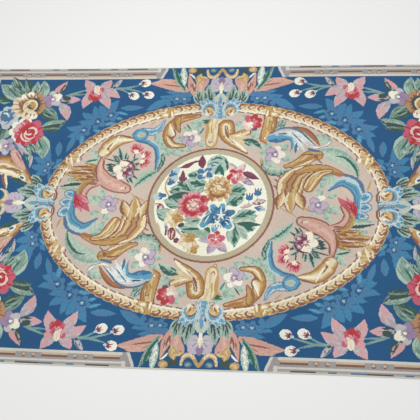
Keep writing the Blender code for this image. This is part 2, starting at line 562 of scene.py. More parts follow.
def gold_scrolls():
    """The gold scrolls and their leaves."""
    # The C at the upper left, with its ivory drop and brown hook.
    scroll([(-10, 49.2), (-19.4, 47), (-24.6, 40), (-22.8, 33), (-15.8, 31.8)], 2.2, GOLD_SCROLL)
    scroll([(-20.4, 47.4), (-20.6, 44), (-19, 40)], 1.5, ("dark gold", "gold", "gold"), "taper")
    strokes("rust", (0.6, -10.6, 49.3, -18, 47.6))
    scroll([(-24.2, 44.4), (-23.4, 41), (-22.2, 38.4)], 1.2, ("cream", "ivory"), "club", line=None)
    strokes("cream", (0.6, -24.8, 36.2, -22.6, 32.9, -18.6, 31.6))
    strokes("brown", (0.42, -24.8, 38, -22.4, 36.4, -20.9, 38.4, -22, 42), (0.35, -24.4, 37.4, -20.2, 33),
            (0.35, -21.8, 45.6, -20.6, 42))
    # The pale drop under the pole of the wreath.
    scroll([(0.4, 48.4), (-2.4, 43), (-2.9, 36), (-3, 33.8)], 2.5,
           ("cream", "cream", "pale gold", "cream"), "band", line="gold", line_cm=0.9)
    strokes("gold", (0.7, -7.6, 44.8, -5.2, 42.6, -5.3, 36), (0.25, -3.2, 47, -3.4, 38))
    strokes("brown", (0.3, -4.2, 34.8, -3.4, 33.4, -2.4, 34.8))
    disc(-3.4, 35, 0.7, 0.8, "blush")
    disc(-4.1, 30.6, 0.95, 0.75, "blush", outline="brown", rim=0.3)
    # The hairpin to the right of it, running down to the round centre, and its side branch.
    scroll([(4.6, 35.4), (8.6, 37), (14.2, 39.6)], 1.7, ("pale gold", "cream", "gold"), "band")
    for x1, y1, width in ((14.4, 37.2, 3.4), (13.6, 33.6, 4), (14.4, 29.6, 4)):
        leaf(4.4, 36.4, x1, y1, width, ("pale gold", "cream", "pale gold"), by="side")
    scroll([(6.6, 40), (5.4, 44.6), (1.8, 43.2), (3.6, 36), (14.6, 27.8)], 1.5,
           ("dark gold", "gold", "cream"), "taper")
    strokes("ivory", (0.7, 7.6, 35, 14.4, 28.6), (0.4, 8, 37.2, 12, 38))
    strokes("cream", (0.45, 5.4, 42, 3.4, 44.4, 3, 41, 7, 34.6))
    strokes("brown", (0.55, 3.4, 41.8, 4.2, 39, 5.6, 36.6))
    # The second hairpin, hanging from the wreath.
    scroll([(25, 50), (25.2, 45), (24.4, 41), (23.6, 38.6)], 2.9,
           ("gold", "gold", "pale gold", "dark gold"), "band")
    scroll([(25.6, 45), (24.9, 42), (25.5, 40)], 0.7, "gold", "band", line_cm=0.32)
    strokes("pale gold", (0.5, 24, 48.6, 23.8, 42))
    scroll([(21.2, 37.4), (21.5, 35.4), (23.2, 34)], 1.2, ("rust", "gold"), "band", line=None)
    disc(23.1, 35.9, 0.85, 0.8, "ivory", outline="brown", rim=0.25)
    # The teardrop scroll at the far left.
    scroll([(-55, 28.8), (-53, 32), (-48.4, 35.2), (-41, 35.4)], 3.5,
           ("dark gold", "gold", "pale gold", "cream", "cream"), "taper", line_cm=0.3, by="edge", fray=0.1)
    strokes("ivory", (0.5, -52.6, 30.6, -50.2, 34.4, -49, 37.5), (0.6, -50, 35, -46, 35.4, -41.8, 35.2),
            (0.5, -54.6, 27.8, -53, 28.4))
    strokes("brown", (0.35, -53.6, 30.6, -51.8, 33.6), (0.5, -47, 37.8, -44.6, 37.2, -41.8, 36.6))
    disc(-53.6, 30.3, 0.65, 0.75, "brown")
    strokes("gold", (0.35, -33.8, 43.6, -31.4, 46.2), (0.45, -46.8, 3.4, -43.8, 2.1, -41.8, -0.2),
            (0.5, 71.4, 8, 72.8, 12.6), (0.4, 21.7, 21, 21.9, 25.4))
    strokes("gold", (0.32, -40.2, 6.6, -37, 4.2, -31, 1.2))


def acanthus():
    """The large gold leaf at the right, its fingers folded over one another."""
    # The upper leaf, folded down from its knuckle.
    scroll([(33.6, 20.4), (39.4, 22.6), (44.6, 26), (48.2, 26.6)], 2.7,
           ("gold", "dark gold", "gold", "pale gold", "gold"), "club")
    scroll([(37, 19.4), (42, 21), (46.6, 24.2)], 1.1, ("gold", "cream"), line_cm=0.3)
    strokes("brown", (0.35, 40.4, 26.4, 44, 27, 47.8, 27), (0.8, 46.8, 26.4, 48.4, 25))
    strokes("dark gold", (0.4, 38, 22.4, 42, 23.6, 46, 26.4))
    # The broad leaf that sweeps down to the left, striped along its length, and its jagged tips.
    tips = ((32.6, 6, 30.6, -1.8, 4.2, ("brown", "gold", "pale gold", "cream")),
            (39.6, 6, 42.6, -1.8, 4.4, ("cream", "pale gold", "gold", "brown")),
            (36, 6, 36.6, -3.8, 5, ("cream", "gold", "gold", "pale gold")))
    for x0, y0, x1, y1, width, _ in tips:
        leaf(x0, y0, x1, y1 - 0.5, width + 1.1, "brown")
    scroll([(47, 19.4), (40.4, 16.4), (36.4, 10.6), (36, 5.4)], 6.2,
           ("cream", "cream", "gold", "gold", "brown", "tan rose", "tan rose", "brown", "gold",
            "pale gold", "gold", "brown", "cream", "gold"), "club", fray=0.05)
    for x0, y0, x1, y1, width, wools in tips:
        leaf(x0, y0, x1, y1, width, wools, by="side", fray=0.1)
    strokes("brown", (0.4, 30.6, 12, 28.6, 13.6), (0.4, 31.2, 14.6, 29, 16), (0.4, 30, 8.4, 28.4, 10.4),
            (0.5, 42.8, 4, 43, 0.6, 42, -1.8))
    # The arch to the right and the folded finger under it.
    scroll([(38.4, 17), (45, 19.2), (52, 19.2), (57.6, 17.2), (61.2, 15.5)], 1.7,
           ("gold", "dark gold", "gold", "gold"), "swell")
    strokes("rust", (1.0, 55.6, 17, 61, 15.4))
    scroll([(54.6, 18), (49.6, 16.4), (46.2, 12.4), (44.6, 9.4)], 2.5,
           ("cream", "gold", "dark gold", "gold", "cream", "gold"), "club", line_cm=0.6, fray=0.1)
    strokes("pale gold", (0.35, 49.4, 16.8, 46.4, 13.8, 44.8, 10.4))


print("gold scrolls, ready to work")

# %% Blue and pink scrolls of the oval
def coloured_scrolls():
    """The blue scrolls and the pink ones."""
    # The leaping blue scroll at the upper right and its tails.
    scroll([(34.5, 41.9), (42, 40.4), (46.6, 36), (49, 32)], 1.2, ("rust", "rust", "brown"), "swell",
           line_cm=0.15)
    for x1, y1, width in (
            (36.8, 31.4, 3.4), (39.2, 29.2, 3.4), (42.2, 28.6, 3.4), (44.4, 31, 3), (46.6, 31.8, 3)):
        leaf(31, 39.4, x1, y1, width, ("ice", "white", "ice", "white"), bend=0.14, fray=0.2, streak=1.8)
    strokes("white", (0.5, 45, 31.4, 49, 30.5, 52.4, 31.8, 54.4, 34.4))
    strokes("slate", (0.5, 25.6, 38.6, 31.6, 41.6, 38.6, 40.6, 47, 32), (0.3, 35.6, 39.4, 41, 33.2),
            (0.7, 38.2, 33, 37.8, 27.8), (0.7, 43.6, 30, 49, 28.4), (0.22, 46.6, 29.6, 53, 31.8, 55, 34.8))
    tongue([(26.6, 36), (30.4, 37), (35.4, 35.6), (36.6, 32), (35.6, 28.8)],
           (2.5, 2.1, 1.5, 1.2, 0.9, 0.2), SKIES, by="side", fray=0.2, streak=2)
    strokes("deep blue", (0.6, 24.8, 34.6, 29, 34, 33.6, 35.2))
    strokes("ice", (0.4, 28.2, 38.2, 30.6, 39.7, 34.4, 39.2))
    strokes("navy", (0.42, 29.2, 38.3, 33.6, 38.6))
    # The blue scroll with a ring at the upper left.
    tongue([(-42, 38.4), (-39.4, 35.4), (-34, 34.2), (-29.8, 31.2), (-28.4, 26), (-28.6, 18)],
           (0.6, 1.2, 1.5, 1.6, 1.4, 1.1, 0.3), ("deep blue", "slate", "sky", "sky", "ice"), by="side",
           fray=0.15, streak=2)
    scroll([(-38, 40), (-31.6, 40.2), (-28.6, 43), (-27, 46.6)], 2.0, ("ice", "sky", "sky", "ice"),
           "taper", line="slate", line_cm=0.3, saw=0.15)
    disc(-38.2, 38.2, 4.0, 3.7, ("slate", "sky", "sky", "ice", "ice"), fray=0.08)
    strokes("sky", (0.5, -40.4, 39.6, -38.6, 41, -36.2, 40.6), (0.5, -40.4, 37, -38.4, 35.8, -36, 36.4))
    disc(-37.6, 38.3, 2.0, 1.4, "mint")
    disc(-37.6, 38.3, 1.5, 0.9, "tan")
    # Gold leaves behind the roots of the pink tube.
    for x1, y1, width in ((-64, 22.2, 4.6), (-71.4, 19.8, 5), (-74, 16, 5.2), (-69.6, 12.6, 4.8)):
        leaf(-55.6, 16.6, x1, y1, width, ("dark gold", "gold", "pale gold", "gold"), by="side",
             outline="brown", rim=0.25)
    strokes("blush", (0.45, -67, 17.4, -59.4, 17.4))
    strokes("brown", (0.5, -69.4, 20.2, -60.6, 20.2), (0.55, -72, 16.6, -59.6, 16.6),
            (0.4, -64, 18.4, -58.6, 17.8), (0.7, -62.4, 14.6, -58.6, 14.4), (0.4, -66.6, 13.4, -60, 13.2))
    scroll([(-59, 12.6), (-63.4, 10.4), (-64.4, 5.4), (-58.6, 0.6)], 1.1, ("gold", "dark gold"), "taper",
           line=None)
    # The pink tube: a thin root from below, and the long one that ends in a round knob.
    for line in ("brown", None):
        scroll([(-60, 0.6), (-62.2, 4.8), (-60, 9.4), (-52.6, 12)], 1.1, SALMONS,
               "swell" if line else "club", line=line, line_cm=0.7)
        scroll([(-55.8, 24.6), (-56, 18.6), (-52.4, 12.8), (-46.6, 9.8), (-42, 8.2)], 3.3,
               ("salmon", "peach", "salmon"), "knob", line=line, line_cm=0.7)
    strokes("brown", (0.5, -58.6, 20.6, -57.4, 15.8), (0.45, -60.4, 17.4, -57.6, 14.6),
            (0.4, -60, 12.8, -56.8, 13), (0.4, -59.8, 10.6, -56, 10.8))
    strokes("peach", (0.3, -55.6, 22, -55.6, 17.6, -53, 14.4))
    disc(-43.8, 8.5, 1.5, 0.55, "cream", outline="tan", rim=0.15)
    strokes("brown", (0.25, -42.4, 9.2, -42, 8.4, -42.6, 7.7))
    disc(-55.3, 25, 0.9, 0.8, "salmon", outline="brown", rim=0.25)
    # The blue curl at the far right, with its lobes, and the flame beside it.
    tongue([(60.6, 16.4), (64.4, 14.8), (68, 11.4), (70, 6.4)], (0.5, 1.2, 1.5, 0.4), "slate", saw=0.3,
           saw_step=2.2)
    for x, y, rx, ry, turn in (
            (68.8, -5, 3.2, 2.1, -14), (70.2, -0.8, 3.4, 2.4, 8), (70.2, 4.2, 3.7, 2.9, 36)):
        disc(x, y, rx, ry, ("ice", "ice", "sky", "sky"), turn=turn, outline="slate", rim=0.5, fray=0.12)
        strokes("slate", (0.3, x - 3, y - 1, x, y - 0.2, x + 0.5 * rx, y + 0.4))
    tongue([(56.2, 12.4), (60.6, 14.3), (66.4, 11.4), (68.4, 5)], (0.3, 1.0, 1.3, 1.1, 0.5, 0.2), "ice",
           saw=0.3, saw_step=2.6)
    tongue([(53.6, 8), (60, 12), (66.4, 7.4), (66.8, -5.4)], (0.2, 1.5, 2.0, 2.4, 1.9, 1.7, 1.3),
           ("slate", "sky", "sky", "slate", "sky", "sky", "ice"), by="side", fray=0.16, streak=1.8,
           saw=0.1, saw_step=2.6)
    tongue([(53.8, 7.7), (60, 10.2), (65.2, 5.4), (66.2, -6.4)], 0.42, "slate")
    for x0, y0, x1, y1, width, wools in (
            (66, -4.6, 57.8, 4.4, 4, ("crimson", "rose", "rose")),
            (66.2, -4.4, 61.7, 4.6, 3.4, ("crimson", "rose", "pink")),
            (65.6, -5, 65, 2.6, 3, ("crimson", "crimson", "rose")),
            (65.4, -4.8, 59, -0.6, 3, ("rose", "pink"))):
        leaf(x0, y0, x1, y1, width, wools, by="along", fray=0.3)
    strokes("deep crimson", (0.3, 65.4, -4, 63.6, 0, 61.4, 2.6), (0.3, 65.6, -3, 65, 1))


print("blue and pink scrolls, ready to work")

# %% Flowers of the oval
LILAC = ("violet", "pale lilac", "pale lilac")
GREY_LILAC = ("lilac", "silver", "pale lilac")
IVORY_LILAC = ("pale lilac", "ivory", "ivory")
MAUVE = ("maroon", "plum", "grey lilac")
IVORY_MAROON = ("blush", "ivory", "ivory")


def carnation(x, y, turn, radius):
    """A fan of crimson that frays into pink, on an ivory foot."""
    for number, angle in enumerate((-40, 40, -14, 14)):
        petal(x, y, turn + angle, radius * (0.9 if abs(angle) > 20 else 1), radius * 0.6,
              ("ivory", "crimson", "crimson", "rose", "pink"), fray=0.35, streak=0.4, seed=5 + number)


def oval_flowers():
    """The flowers that lie on the scrolls."""
    # Spiky dark leaves round the maroon pansy.
    for x1, y1, width in (
            (-48.2, 31, 3.6), (-51, 26.8, 2.8), (-44, 28.6, 2.4), (-53.8, 21.2, 2.6), (-53.2, 18, 2.6),
            (-38, 25.4, 2.6), (-35.4, 22.4, 2.2), (-36.4, 18.6, 2.6), (-37.4, 13.6, 2.6),
            (-38.8, 10.8, 2.8), (-51, 15.6, 1.8)):
        leaf(-44.5, 19.4, x1, y1, 1.3 * width, ("mint", "mint", "sage", "charcoal green"), fray=0.35)
    disc(-50, 18.6, 1.9, 1.3, "charcoal green")
    strokes("charcoal green", (0.4, -45.6, 24, -46.6, 26.6, -47.8, 30.2),
            (0.35, -47, 23.6, -48.8, 25.8, -50.8, 26.2), (0.35, -47, 22.6, -50, 23.6, -54.6, 24.9),
            (0.3, -44.4, 24, -44.2, 27.6), (0.3, -43.2, 24, -42.8, 26.4),
            (0.4, -48, 21, -51, 21.6, -53.8, 21.3), (0.6, -48.6, 20, -50.6, 18.4),
            (0.5, -49, 18.4, -50.8, 17.6), (0.4, -50.2, 19.8, -53, 19.6), (0.4, -40.6, 23.6, -37.6, 25),
            (0.4, -40, 24.4, -39.8, 27.4), (0.35, -38.8, 22, -35.8, 22.4),
            (0.35, -38.4, 18.6, -36.4, 18.4), (0.4, -39.4, 15.6, -37, 13.6),
            (0.45, -41.4, 14.6, -39, 11.4), (0.3, -42.6, 14, -40.8, 11.2), (0.3, -47, 15, -49.6, 14.4))
    pansy(-43.8, 18.6, 5.7, (MAUVE, IVORY_MAROON, IVORY_MAROON, IVORY_MAROON, MAUVE), turn=30,
          heart="maroon", eye="blush")
    strokes("maroon", (0.5, -45.6, 23.8, -42.6, 23.4, -39.8, 21.2, -38.8, 18),
            (0.35, -41.6, 18.9, -38.8, 18.7), (0.3, -43.4, 18, -42.4, 16, -42.6, 13.6))
    disc(-41.2, 20.8, 1.5, 1.4, ("plum", "grey lilac", "blush"), fray=0.1)
    disc(-40.9, 16.8, 1.5, 1.5, ("plum", "grey lilac", "blush"), fray=0.1)
    for x, y, turn, radius in ((-39.4, 28, 88, 5.2), (-36.4, 26.2, 12, 4.8), (-36.4, 23.6, -26, 4.6)):
        carnation(x, y, turn, radius)
    pansy(-12.9, 36.3, 5.0, (("pale lilac", "ivory", "ivory"), ("pale lilac", "ivory", "ivory"), LILAC,
                             LILAC, IVORY_LILAC), turn=66, heart="violet", eye="blush")
    pansy(28.3, 26.9, 5.1, (IVORY_LILAC, LILAC, LILAC, IVORY_LILAC, IVORY_LILAC), turn=72, heart="violet",
          eye="white")
    pansy(49.2, 0.2, 4.7, (IVORY_LILAC, LILAC, LILAC, LILAC, GREY_LILAC), turn=66, heart="violet",
          eye="white")
    strokes("ivory", (0.9, 49.2, 4.4, 52.4, 4))
    for turn, wools in (
            (290, ("blush", "rose", "plum")), (190, ("ivory", "ivory", "blush")),
            (238, ("ivory", "ivory", "blush")), (130, ("pink", "rose", "rose")),
            (70, ("rose", "crimson", "crimson")), (20, ("pink", "crimson", "crimson")),
            (-28, ("pink", "rose", "crimson"))):
        petal(16.4, 45, turn, 4.9, 4.2, wools, fray=0.35)
    disc(15.6, 44.4, 1.1, 0.9, "ivory")


for half_turn in (1, -1):
    turn_work(half_turn, half_turn)
    pale_leaves()
for half_turn in (1, -1):
    turn_work(half_turn, half_turn)
    gold_scrolls()
    acanthus()
    coloured_scrolls()
for half_turn in (1, -1):
    turn_work(half_turn, half_turn)
    oval_flowers()
turn_work(1, 1)
print("oval worked, wools used so far:", len(np.unique(chart)))

# %% [markdown]
# ## The wreath
#
# The wreath is one long band worked round the oval, so its pattern is drawn on the unrolled band: how far
# along from the pole, and how far in from the outer edge. One link repeats: a gold outer leaf with a
# brown patch, a cream leaf behind its brown hook, and an ivory cord along the inside.

# %% Unroll the wreath band
LINK_CM = 4.75

turn = np.linspace(0, math.pi / 2, 400)
rim_x = OVAL_HALF_LENGTH_CM * np.sin(turn) ** (2 / OVAL_FULLNESS)
rim_y = OVAL_HALF_WIDTH_CM * np.cos(turn) ** (2 / OVAL_FULLNESS)
rim_gone = np.concatenate([[0], np.cumsum(np.hypot(np.diff(rim_x), np.diff(rim_y)))])
ahead_x, ahead_y = np.gradient(rim_x), np.gradient(rim_y)
ahead_x, ahead_y = np.array([ahead_x, ahead_y]) / np.hypot(ahead_x, ahead_y)

in_band = (oval(0) < 1) & (oval(-WREATH_CM - 0.4) > 1)
band_x, band_y = np.abs(x_all[in_band]), np.abs(y_all[in_band])
near = ((band_x[:, None] - rim_x) ** 2 + (band_y[:, None] - rim_y) ** 2).argmin(axis=1)
off_x, off_y = band_x - rim_x[near], band_y - rim_y[near]
place = rim_gone[near] + off_x * ahead_x[near] + off_y * ahead_y[near]
inward = np.abs(ahead_y[near] * off_x - ahead_x[near] * off_y)
band_wool = chart[in_band]
print("wreath, cm along one quarter:", round(rim_gone[-1], 1))


def band_row(low, high, wool):
    """One plain row of the band, from one depth to another."""
    band_wool[(inward >= low) & (inward < high)] = WOOL[wool]


def link_stroke(wool, half, *points):
    """One stroke of every link: its half-width, then how far along and how far in, in cm."""
    mask = np.zeros(place.shape, dtype=bool)
    number = np.floor(place / LINK_CM)
    for shift in (-1, 0, 1):
        s = place - (number + shift) * LINK_CM
        wander = 0.18 * tooth(number + shift, int(10 * half))
        line = list(zip(points[::2], points[1::2]))
        for (s0, d0), (s1, d1) in zip(line[:-1], line[1:]):
            length = math.dist((s0, d0), (s1, d1))
            t = np.clip(((s - s0) * (s1 - s0) + (inward - d0 - wander) * (d1 - d0)) / length**2, 0, 1)
            mask |= np.hypot(s - s0 - t * (s1 - s0), inward - wander - d0 - t * (d1 - d0)) < half
    band_wool[mask] = WOOL[wool]


# %% Work the links
band_row(0, 0.35, "tan")
band_row(0.35, 1.6, "gold")
band_row(1.6, 4.5, "cream")
band_row(4.5, 5.4, "ivory")
link_stroke("brown", 0.42, 0.9, 0.8, 2.5, 0.7)
link_stroke("dark gold", 0.36, 3.2, 0.9, 4.4, 1.2)
link_stroke("pale gold", 0.5, 3.6, 1.7, 2.4, 2.6)
link_stroke("pale gold", 0.34, 1.8, 2.8, 4.0, 4.0)
link_stroke("dark gold", 0.16, 1.6, 2.6, 3.8, 2.5)
link_stroke("brown", 0.45, 3.0, 0.8, 1.2, 1.6)
link_stroke("brown", 0.4, 1.5, 1.4, 0.1, 2.6, 1.2, 3.6)
link_stroke("rust", 0.26, 3.9, 1.5, 3.0, 2.2)
link_stroke("brown", 0.3, 0.2, 5.5, 3.0, 5.7)
band_wool[inward < 0.3 * np.cos(math.pi * place / LINK_CM) ** 6] = WOOL["field"]
chart[in_band] = band_wool
print("links in one quarter:", round(rim_gone[-1] / LINK_CM, 1))

# %% Ties of the wreath
def ties():
    """A soft knot of cream and gold wool where two lengths of the wreath meet."""
    disc(-26.6, 51.1, 3.9, 2.7, ("gold", "pale gold", "gold", "gold"), turn=12, by="side", fullness=4,
         fray=0.3)
    strokes("dark gold", (0.35, -28.6, 53.3, -28, 51.6), (0.3, -25.9, 53.9, -25.8, 52),
            (0.35, -24.9, 51.6, -24.8, 48.6))
    strokes("ivory", (0.75, -28, 49.6, -25.6, 49.7), (0.55, -23.9, 51.8, -23.3, 48.4),
            (0.3, -27.2, 51.2, -26.4, 53.4))
    strokes("cream", (0.5, -22.8, 52.1, -20.6, 51.9), (0.35, -29, 51.3, -26.6, 50.9))
    strokes("brown", (0.3, -22.4, 48.7, -21.2, 49.4), (0.3, -29.6, 49.2, -29, 49.9),
            (0.35, -31.4, 51.6, -30.2, 50.2), (0.3, -23, 54.2, -21.4, 53.6))
    disc(-71.6, 23.8, 3.0, 4.6, ("brown", "gold", "pale gold", "gold"), turn=-26, by="side", fullness=2.6,
         fray=0.3)
    strokes("cream", (0.55, -72.2, 27.4, -71.4, 23.4, -70, 20.4), (0.4, -73.8, 25.6, -73.4, 22.2),
            (0.4, -71.2, 19, -72.6, 16.6))
    strokes("ivory", (0.8, -68.4, 24.6, -67.2, 22.6), (0.4, -71.6, 25.4, -70.4, 22))
    strokes("brown", (0.35, -73, 26.4, -71.8, 25.4), (0.3, -66.6, 25.4, -66.4, 23.4))


for fx, fy in QUARTERS:
    turn_work(fx, fy)
    ties()
turn_work(1, 1)
print("ties:", 2 * len(QUARTERS))

# %% [markdown]
# ## The round centre
#
# A brown line and a tan ring hold a cream ground with a loose bouquet, the one part that isn't mirrored.

# %% Ring and bouquet leaves
ROUND_X, ROUND_Y, ROUND_CM = -0.7, 0.6, 30.0
from_round = np.hypot(x_all - ROUND_X, y_all - ROUND_Y)
lay(whole, from_round < ROUND_CM, "brown")
lay(whole, from_round < ROUND_CM - 0.95, "tan")
lay(whole, from_round < ROUND_CM - 3.5, "centre cream")

disc(1.3, 21.3, 5.2, 5.3, ("mint", "sage", "mint"), fray=0.5)
strokes("pine", (0.5, -3.2, 21.2, -0.6, 22.5, 1.8, 22.2), (0.45, -1.8, 23.8, 1, 25.2, 3.6, 24.4),
        (0.7, 4.6, 24, 6, 21.6, 6, 18.6), (0.9, 0.4, 16.4, 1.6, 18.8, 2.6, 21.4),
        (0.9, 4.4, 15.6, 3.4, 17.8, 3.4, 20))
for x0, y0, x1, y1, width in (
        (-8, 7.4, -20.5, 8.6, 8), (-10, 2.4, -22, 2.6, 7), (-5, 12, -13.4, 12.6, 6),
        (0, -12.4, -14, -12.4, 8), (-4, -8.4, -13, -8, 4), (7.6, 8.4, 16, 7.6, 8), (7.4, 2.2, 15, 2.6, 7),
        (10.6, -6.4, 21.6, -5.6, 8), (10.6, -11, 21, -12, 7)):
    leaf(x0, y0, x1, y1, width, ("sage", "mint", "sage", "mint"), by="side", fray=0.4, slant=2.6,
         streak=1.0)
for x0, y0, x1, y1, width, wools in (
        (-5, 14.5, -12.8, 16, 6.4, LEAF_GREENS), (-4, 12, -13, 13.4, 3.4, MINTS),
        (-3.6, 10.4, -11.6, 11.8, 4.6, ("mint", "pine", "pine")), (-4.6, 9, -7.2, 5.8, 2.6, SAGES),
        (-11.5, 6.5, -20.8, 6.8, 5.4, ("charcoal green", "pine", "sage")),
        (-10.2, 7, -17.4, 12.2, 5.6, LEAF_GREENS), (-11, 5.6, -21.4, 3.8, 3.4, ("charcoal green", "pine")),
        (-14.5, -0.5, -23, 2.4, 6, ("pine", "sage", "mint")),
        (-19.5, -8.5, -25.8, -2, 5.2, ("pine", "sage", "mint")),
        (-18, -4, -25.6, -3, 3.4, ("sage", "mint")), (2, -13, -12.8, -10.2, 5.6, MINTS),
        (2.2, -15.2, -13, -13.4, 5.4, ("sage", "mint", "sage")), (8.6, 5.2, 15.6, 5.4, 5, LEAF_GREENS),
        (9, 6.4, 15, 8.6, 6.4, LEAF_GREENS), (7.6, 0.6, 14.8, 4.2, 5.6, LEAF_GREENS),
        (11.4, -6.6, 21, -3.2, 5.6, LEAF_GREENS), (10.6, -9, 21.5, -8, 4.6, MINTS),
        (13, -9.6, 23.8, -10.2, 2.6, ("charcoal green", "pine")), (16, -11, 20.5, -13.2, 2.2, "pine"),
        (12.2, -11, 17.8, -17.6, 5, ("pale mint", "mint", "sage")),
        (11.6, -10.6, 12, -21.6, 5.4, LEAF_GREENS), (9.6, -12, 9.4, -19, 3.4, ("sage", "mint"))):
    leaf(x0, y0, x1, y1, width, wools, fray=0.5, slant=2.2, streak=0.9)
for x0, y0, x1, y1, width in (
        (-4.5, -12.3, -13, -12.8, 1.5), (1.6, -14.4, -3.4, -10.6, 2), (-13.2, -14, -8, -15.4, 0.9),
        (9, 1.6, 12, -0.6, 2.4), (8.8, 7, 13.4, 9.4, 1.4), (-5.4, -8.2, -9, -8.6, 1)):
    leaf(x0, y0, x1, y1, width, "pine")
disc(-13.4, -10.6, 1.6, 1.1, "charcoal green", turn=25)
print("stitches inside the ring:", int((from_round < ROUND_CM).sum()))

# %% Bouquet buds and sprays
tongue([(-21.6, 14.6), (-22.9, 11), (-22.4, 7.5), (-20.6, 4.6)], 0.36, "gold")
for x, y, turn in ((-20.4, 15.6, 55), (-21, 11.3, 50), (-23.2, 4.8, 190)):
    petal(x, y, turn, 5.2, 4.2, ("deep blue", "slate", "ice", "ice"), fray=0.2)
    disc(x, y, 1.4, 1.1, "deep blue")
tongue([(-17, 19.6), (-13, 21), (-9.8, 23), (-6.6, 23)], (0.2, 1.3, 0.6, 0.5), ("maroon", "plum"), fray=0.5)
leaf(-6, 19.8, -6.6, 26.8, 3.6, ("plum", "maroon"), fray=0.5)
leaf(-7.4, 20.6, -7.8, 24.6, 1.4, "maroon")
leaf(-15, 11.8, -15.2, 18.4, 2.4, ("maroon", "plum"), fray=0.5)
leaf(-15.8, 12.4, -16.8, 15, 1.2, "plum")
leaf(-14, 12.4, -13.2, 15, 1.2, "plum")
for x0, y0, x1, y1, width, wools in (
        (10.5, 17, 6.4, 22.6, 3.8, ("grey lilac", "blush")),
        (11, 17, 14.6, 22.2, 3.6, ("grey lilac", "blush")),
        (13.5, 17.2, 21.6, 13.4, 3.4, ("maroon", "plum")),
        (13, 14, 19.4, 10.2, 3.4, ("lilac", "pale lilac", "lilac")),
        (19.2, 1, 25.4, 2.4, 3.2, ("plum", "blush", "grey lilac")),
        (19, 0.4, 13, -1.6, 2.4, ("blush", "grey lilac")),
        (3.4, -18, -5, -18.2, 3.4, ("grey lilac", "pale lilac")),
        (3.2, -19, 0, -25, 4.4, ("lilac", "grey lilac", "pale lilac")),
        (3.8, -19, 9, -24, 4.2, ("lilac", "grey lilac", "pale lilac")),
        (-22.6, -1.6, -27, 0.6, 2.4, ("plum", "blush")), (-25, -0.6, -25.6, -2.4, 1.4, "plum"),
        (-19.5, -13.6, -21.2, -9.4, 1.8, ("grey lilac", "pale lilac")),
        (-16, -12, -12.4, -16.2, 1.4, "grey lilac"),
        (-24.6, -9.6, -22.6, -14.6, 1.2, ("beige", "pale gold"))):
    leaf(x0, y0, x1, y1, width, wools, by="side", fray=0.4)
petal(20.4, -1.4, -12, 4.8, 2.9, ("deep blue", "slate", "grey lilac", "ice"))
for x, y, height in ((21.2, 5.4, 3.8), (17.4, 3, 3.6)):
    disc(x, y + 0.6, 1.8, 1.3, "deep blue")
    for lean in (-1.3, 0, 1.3):
        leaf(x + lean * 0.6, y + 0.6, x + lean * 1.2, y + height, 0.9, "slate")
    tongue([(x, y - 0.6), (x - 0.3, y - 3)], 0.22, "sage")
disc(-17.4, -15, 1.9, 3.2, ("brown", "maroon", "brown"), turn=6, fray=0.4)
for x0, y0, x1, y1 in ((-17.4, -17.6, -16.6, -13), (-18.4, -17, -18.6, -13.6)):
    leaf(x0, y0, x1, y1, 0.8, "blush")
disc(-14.8, -18.4, 1.5, 1.3, ("maroon", "plum"), fray=0.4)
disc(-11.8, -16.3, 1.3, 0.9, ("maroon", "plum"), turn=20, fray=0.4)
tongue([(-20.2, -15.6), (-20.3, -11.4)], (0.4, 0.5, 0.2), "plum")
print("wools used so far:", len(np.unique(chart)))

# %% Bouquet flowers
def gold_aster(x, y, radius, turn):
    """Five ragged gold petals round a small heart."""
    for number, wools in enumerate((("gold", "gold", "pale gold"), ("gold", "pale gold", "cream"),
                                    ("cream", "ivory", "cream"), ("cream", "cream", "pale gold"),
                                    ("gold", "dark gold", "gold"))):
        petal(x, y, turn + 72 * number, radius, radius * 1.1, wools, fray=0.5)
    disc(x, y, radius * 0.22, radius * 0.22, "gold")


gold_aster(-17.2, -7, 4.6, 60)
gold_aster(-9.6, -18.6, 4.4, 120)
gold_aster(-7.2, -22.2, 3.2, 20)
for x, y, rx, ry, turn in (
        (-6.6, 17.6, 2.2, 1.9, 20), (-3, 18.4, 2.1, 1.9, 60), (-2.4, 15.8, 2.0, 2.0, 0),
        (-6.4, 14.8, 2.2, 1.8, 30)):
    disc(x, y, rx, ry, ("ice", "slate", "deep blue", "slate"), turn=turn, fray=0.15)
leaf(-5.5, 15, -3.2, 18.4, 1.2, "white")
disc(-4.6, 16.2, 0.8, 0.7, "white")
disc(-1, 21, 2, 1.2, ("ice", "slate"), turn=20)

# The blue flower: every petal lies on a slightly larger ivory one.
disc(3.2, -6.4, 6.6, 6.2, "ivory")
disc(3.2, -6.4, 6.0, 5.6, ("sky", "slate", "sky"), fray=0.4)
for grow, edge in ((1.1, "ivory"), (0, None)):
    for x, y, petal_turn, reach, width, wools in (
            (1.2, -4.6, 232, 8.6, 4.4, ("deep blue", "deep blue", "sky")),
            (2.6, -4.6, 118, 5.4, 3.6, ("slate", "deep blue", "sky")),
            (4.4, -4.8, 80, 5.4, 3.6, ("slate", "deep blue", "sky")),
            (6.4, -5.2, 22, 5, 3.8, ("navy", "deep blue", "slate")),
            (5.8, -8.2, -42, 5.4, 4.6, ("navy", "deep blue", "sky")),
            (3, -8.6, -100, 5.6, 3.6, ("slate", "ice", "sky")),
            (2.4, -7.8, 200, 3.4, 3, ("navy", "slate"))):
        petal(x, y, petal_turn, reach + grow, width + grow, edge or wools, fray=0.3)
disc(4.6, -6.2, 3.0, 2.8, ("slate", "sky", "navy"), fray=0.5)
for x, y, reach, angles in (
        (4.8, -5.6, 2.6, (20, 92, 160, 232, 304)), (3.4, -9.4, 2.2, (60, 130, 200, 262, 330))):
    for angle in angles:
        leaf(x, y, *around(x, y, reach, angle), 0.9, "white")
strokes("ivory", (0.25, -0.6, -5.4, -2.6, -9.4), (0.25, 7, -8.6, 8.6, -10.4), (0.25, 4.6, -3.6, 4.8, -1.2))

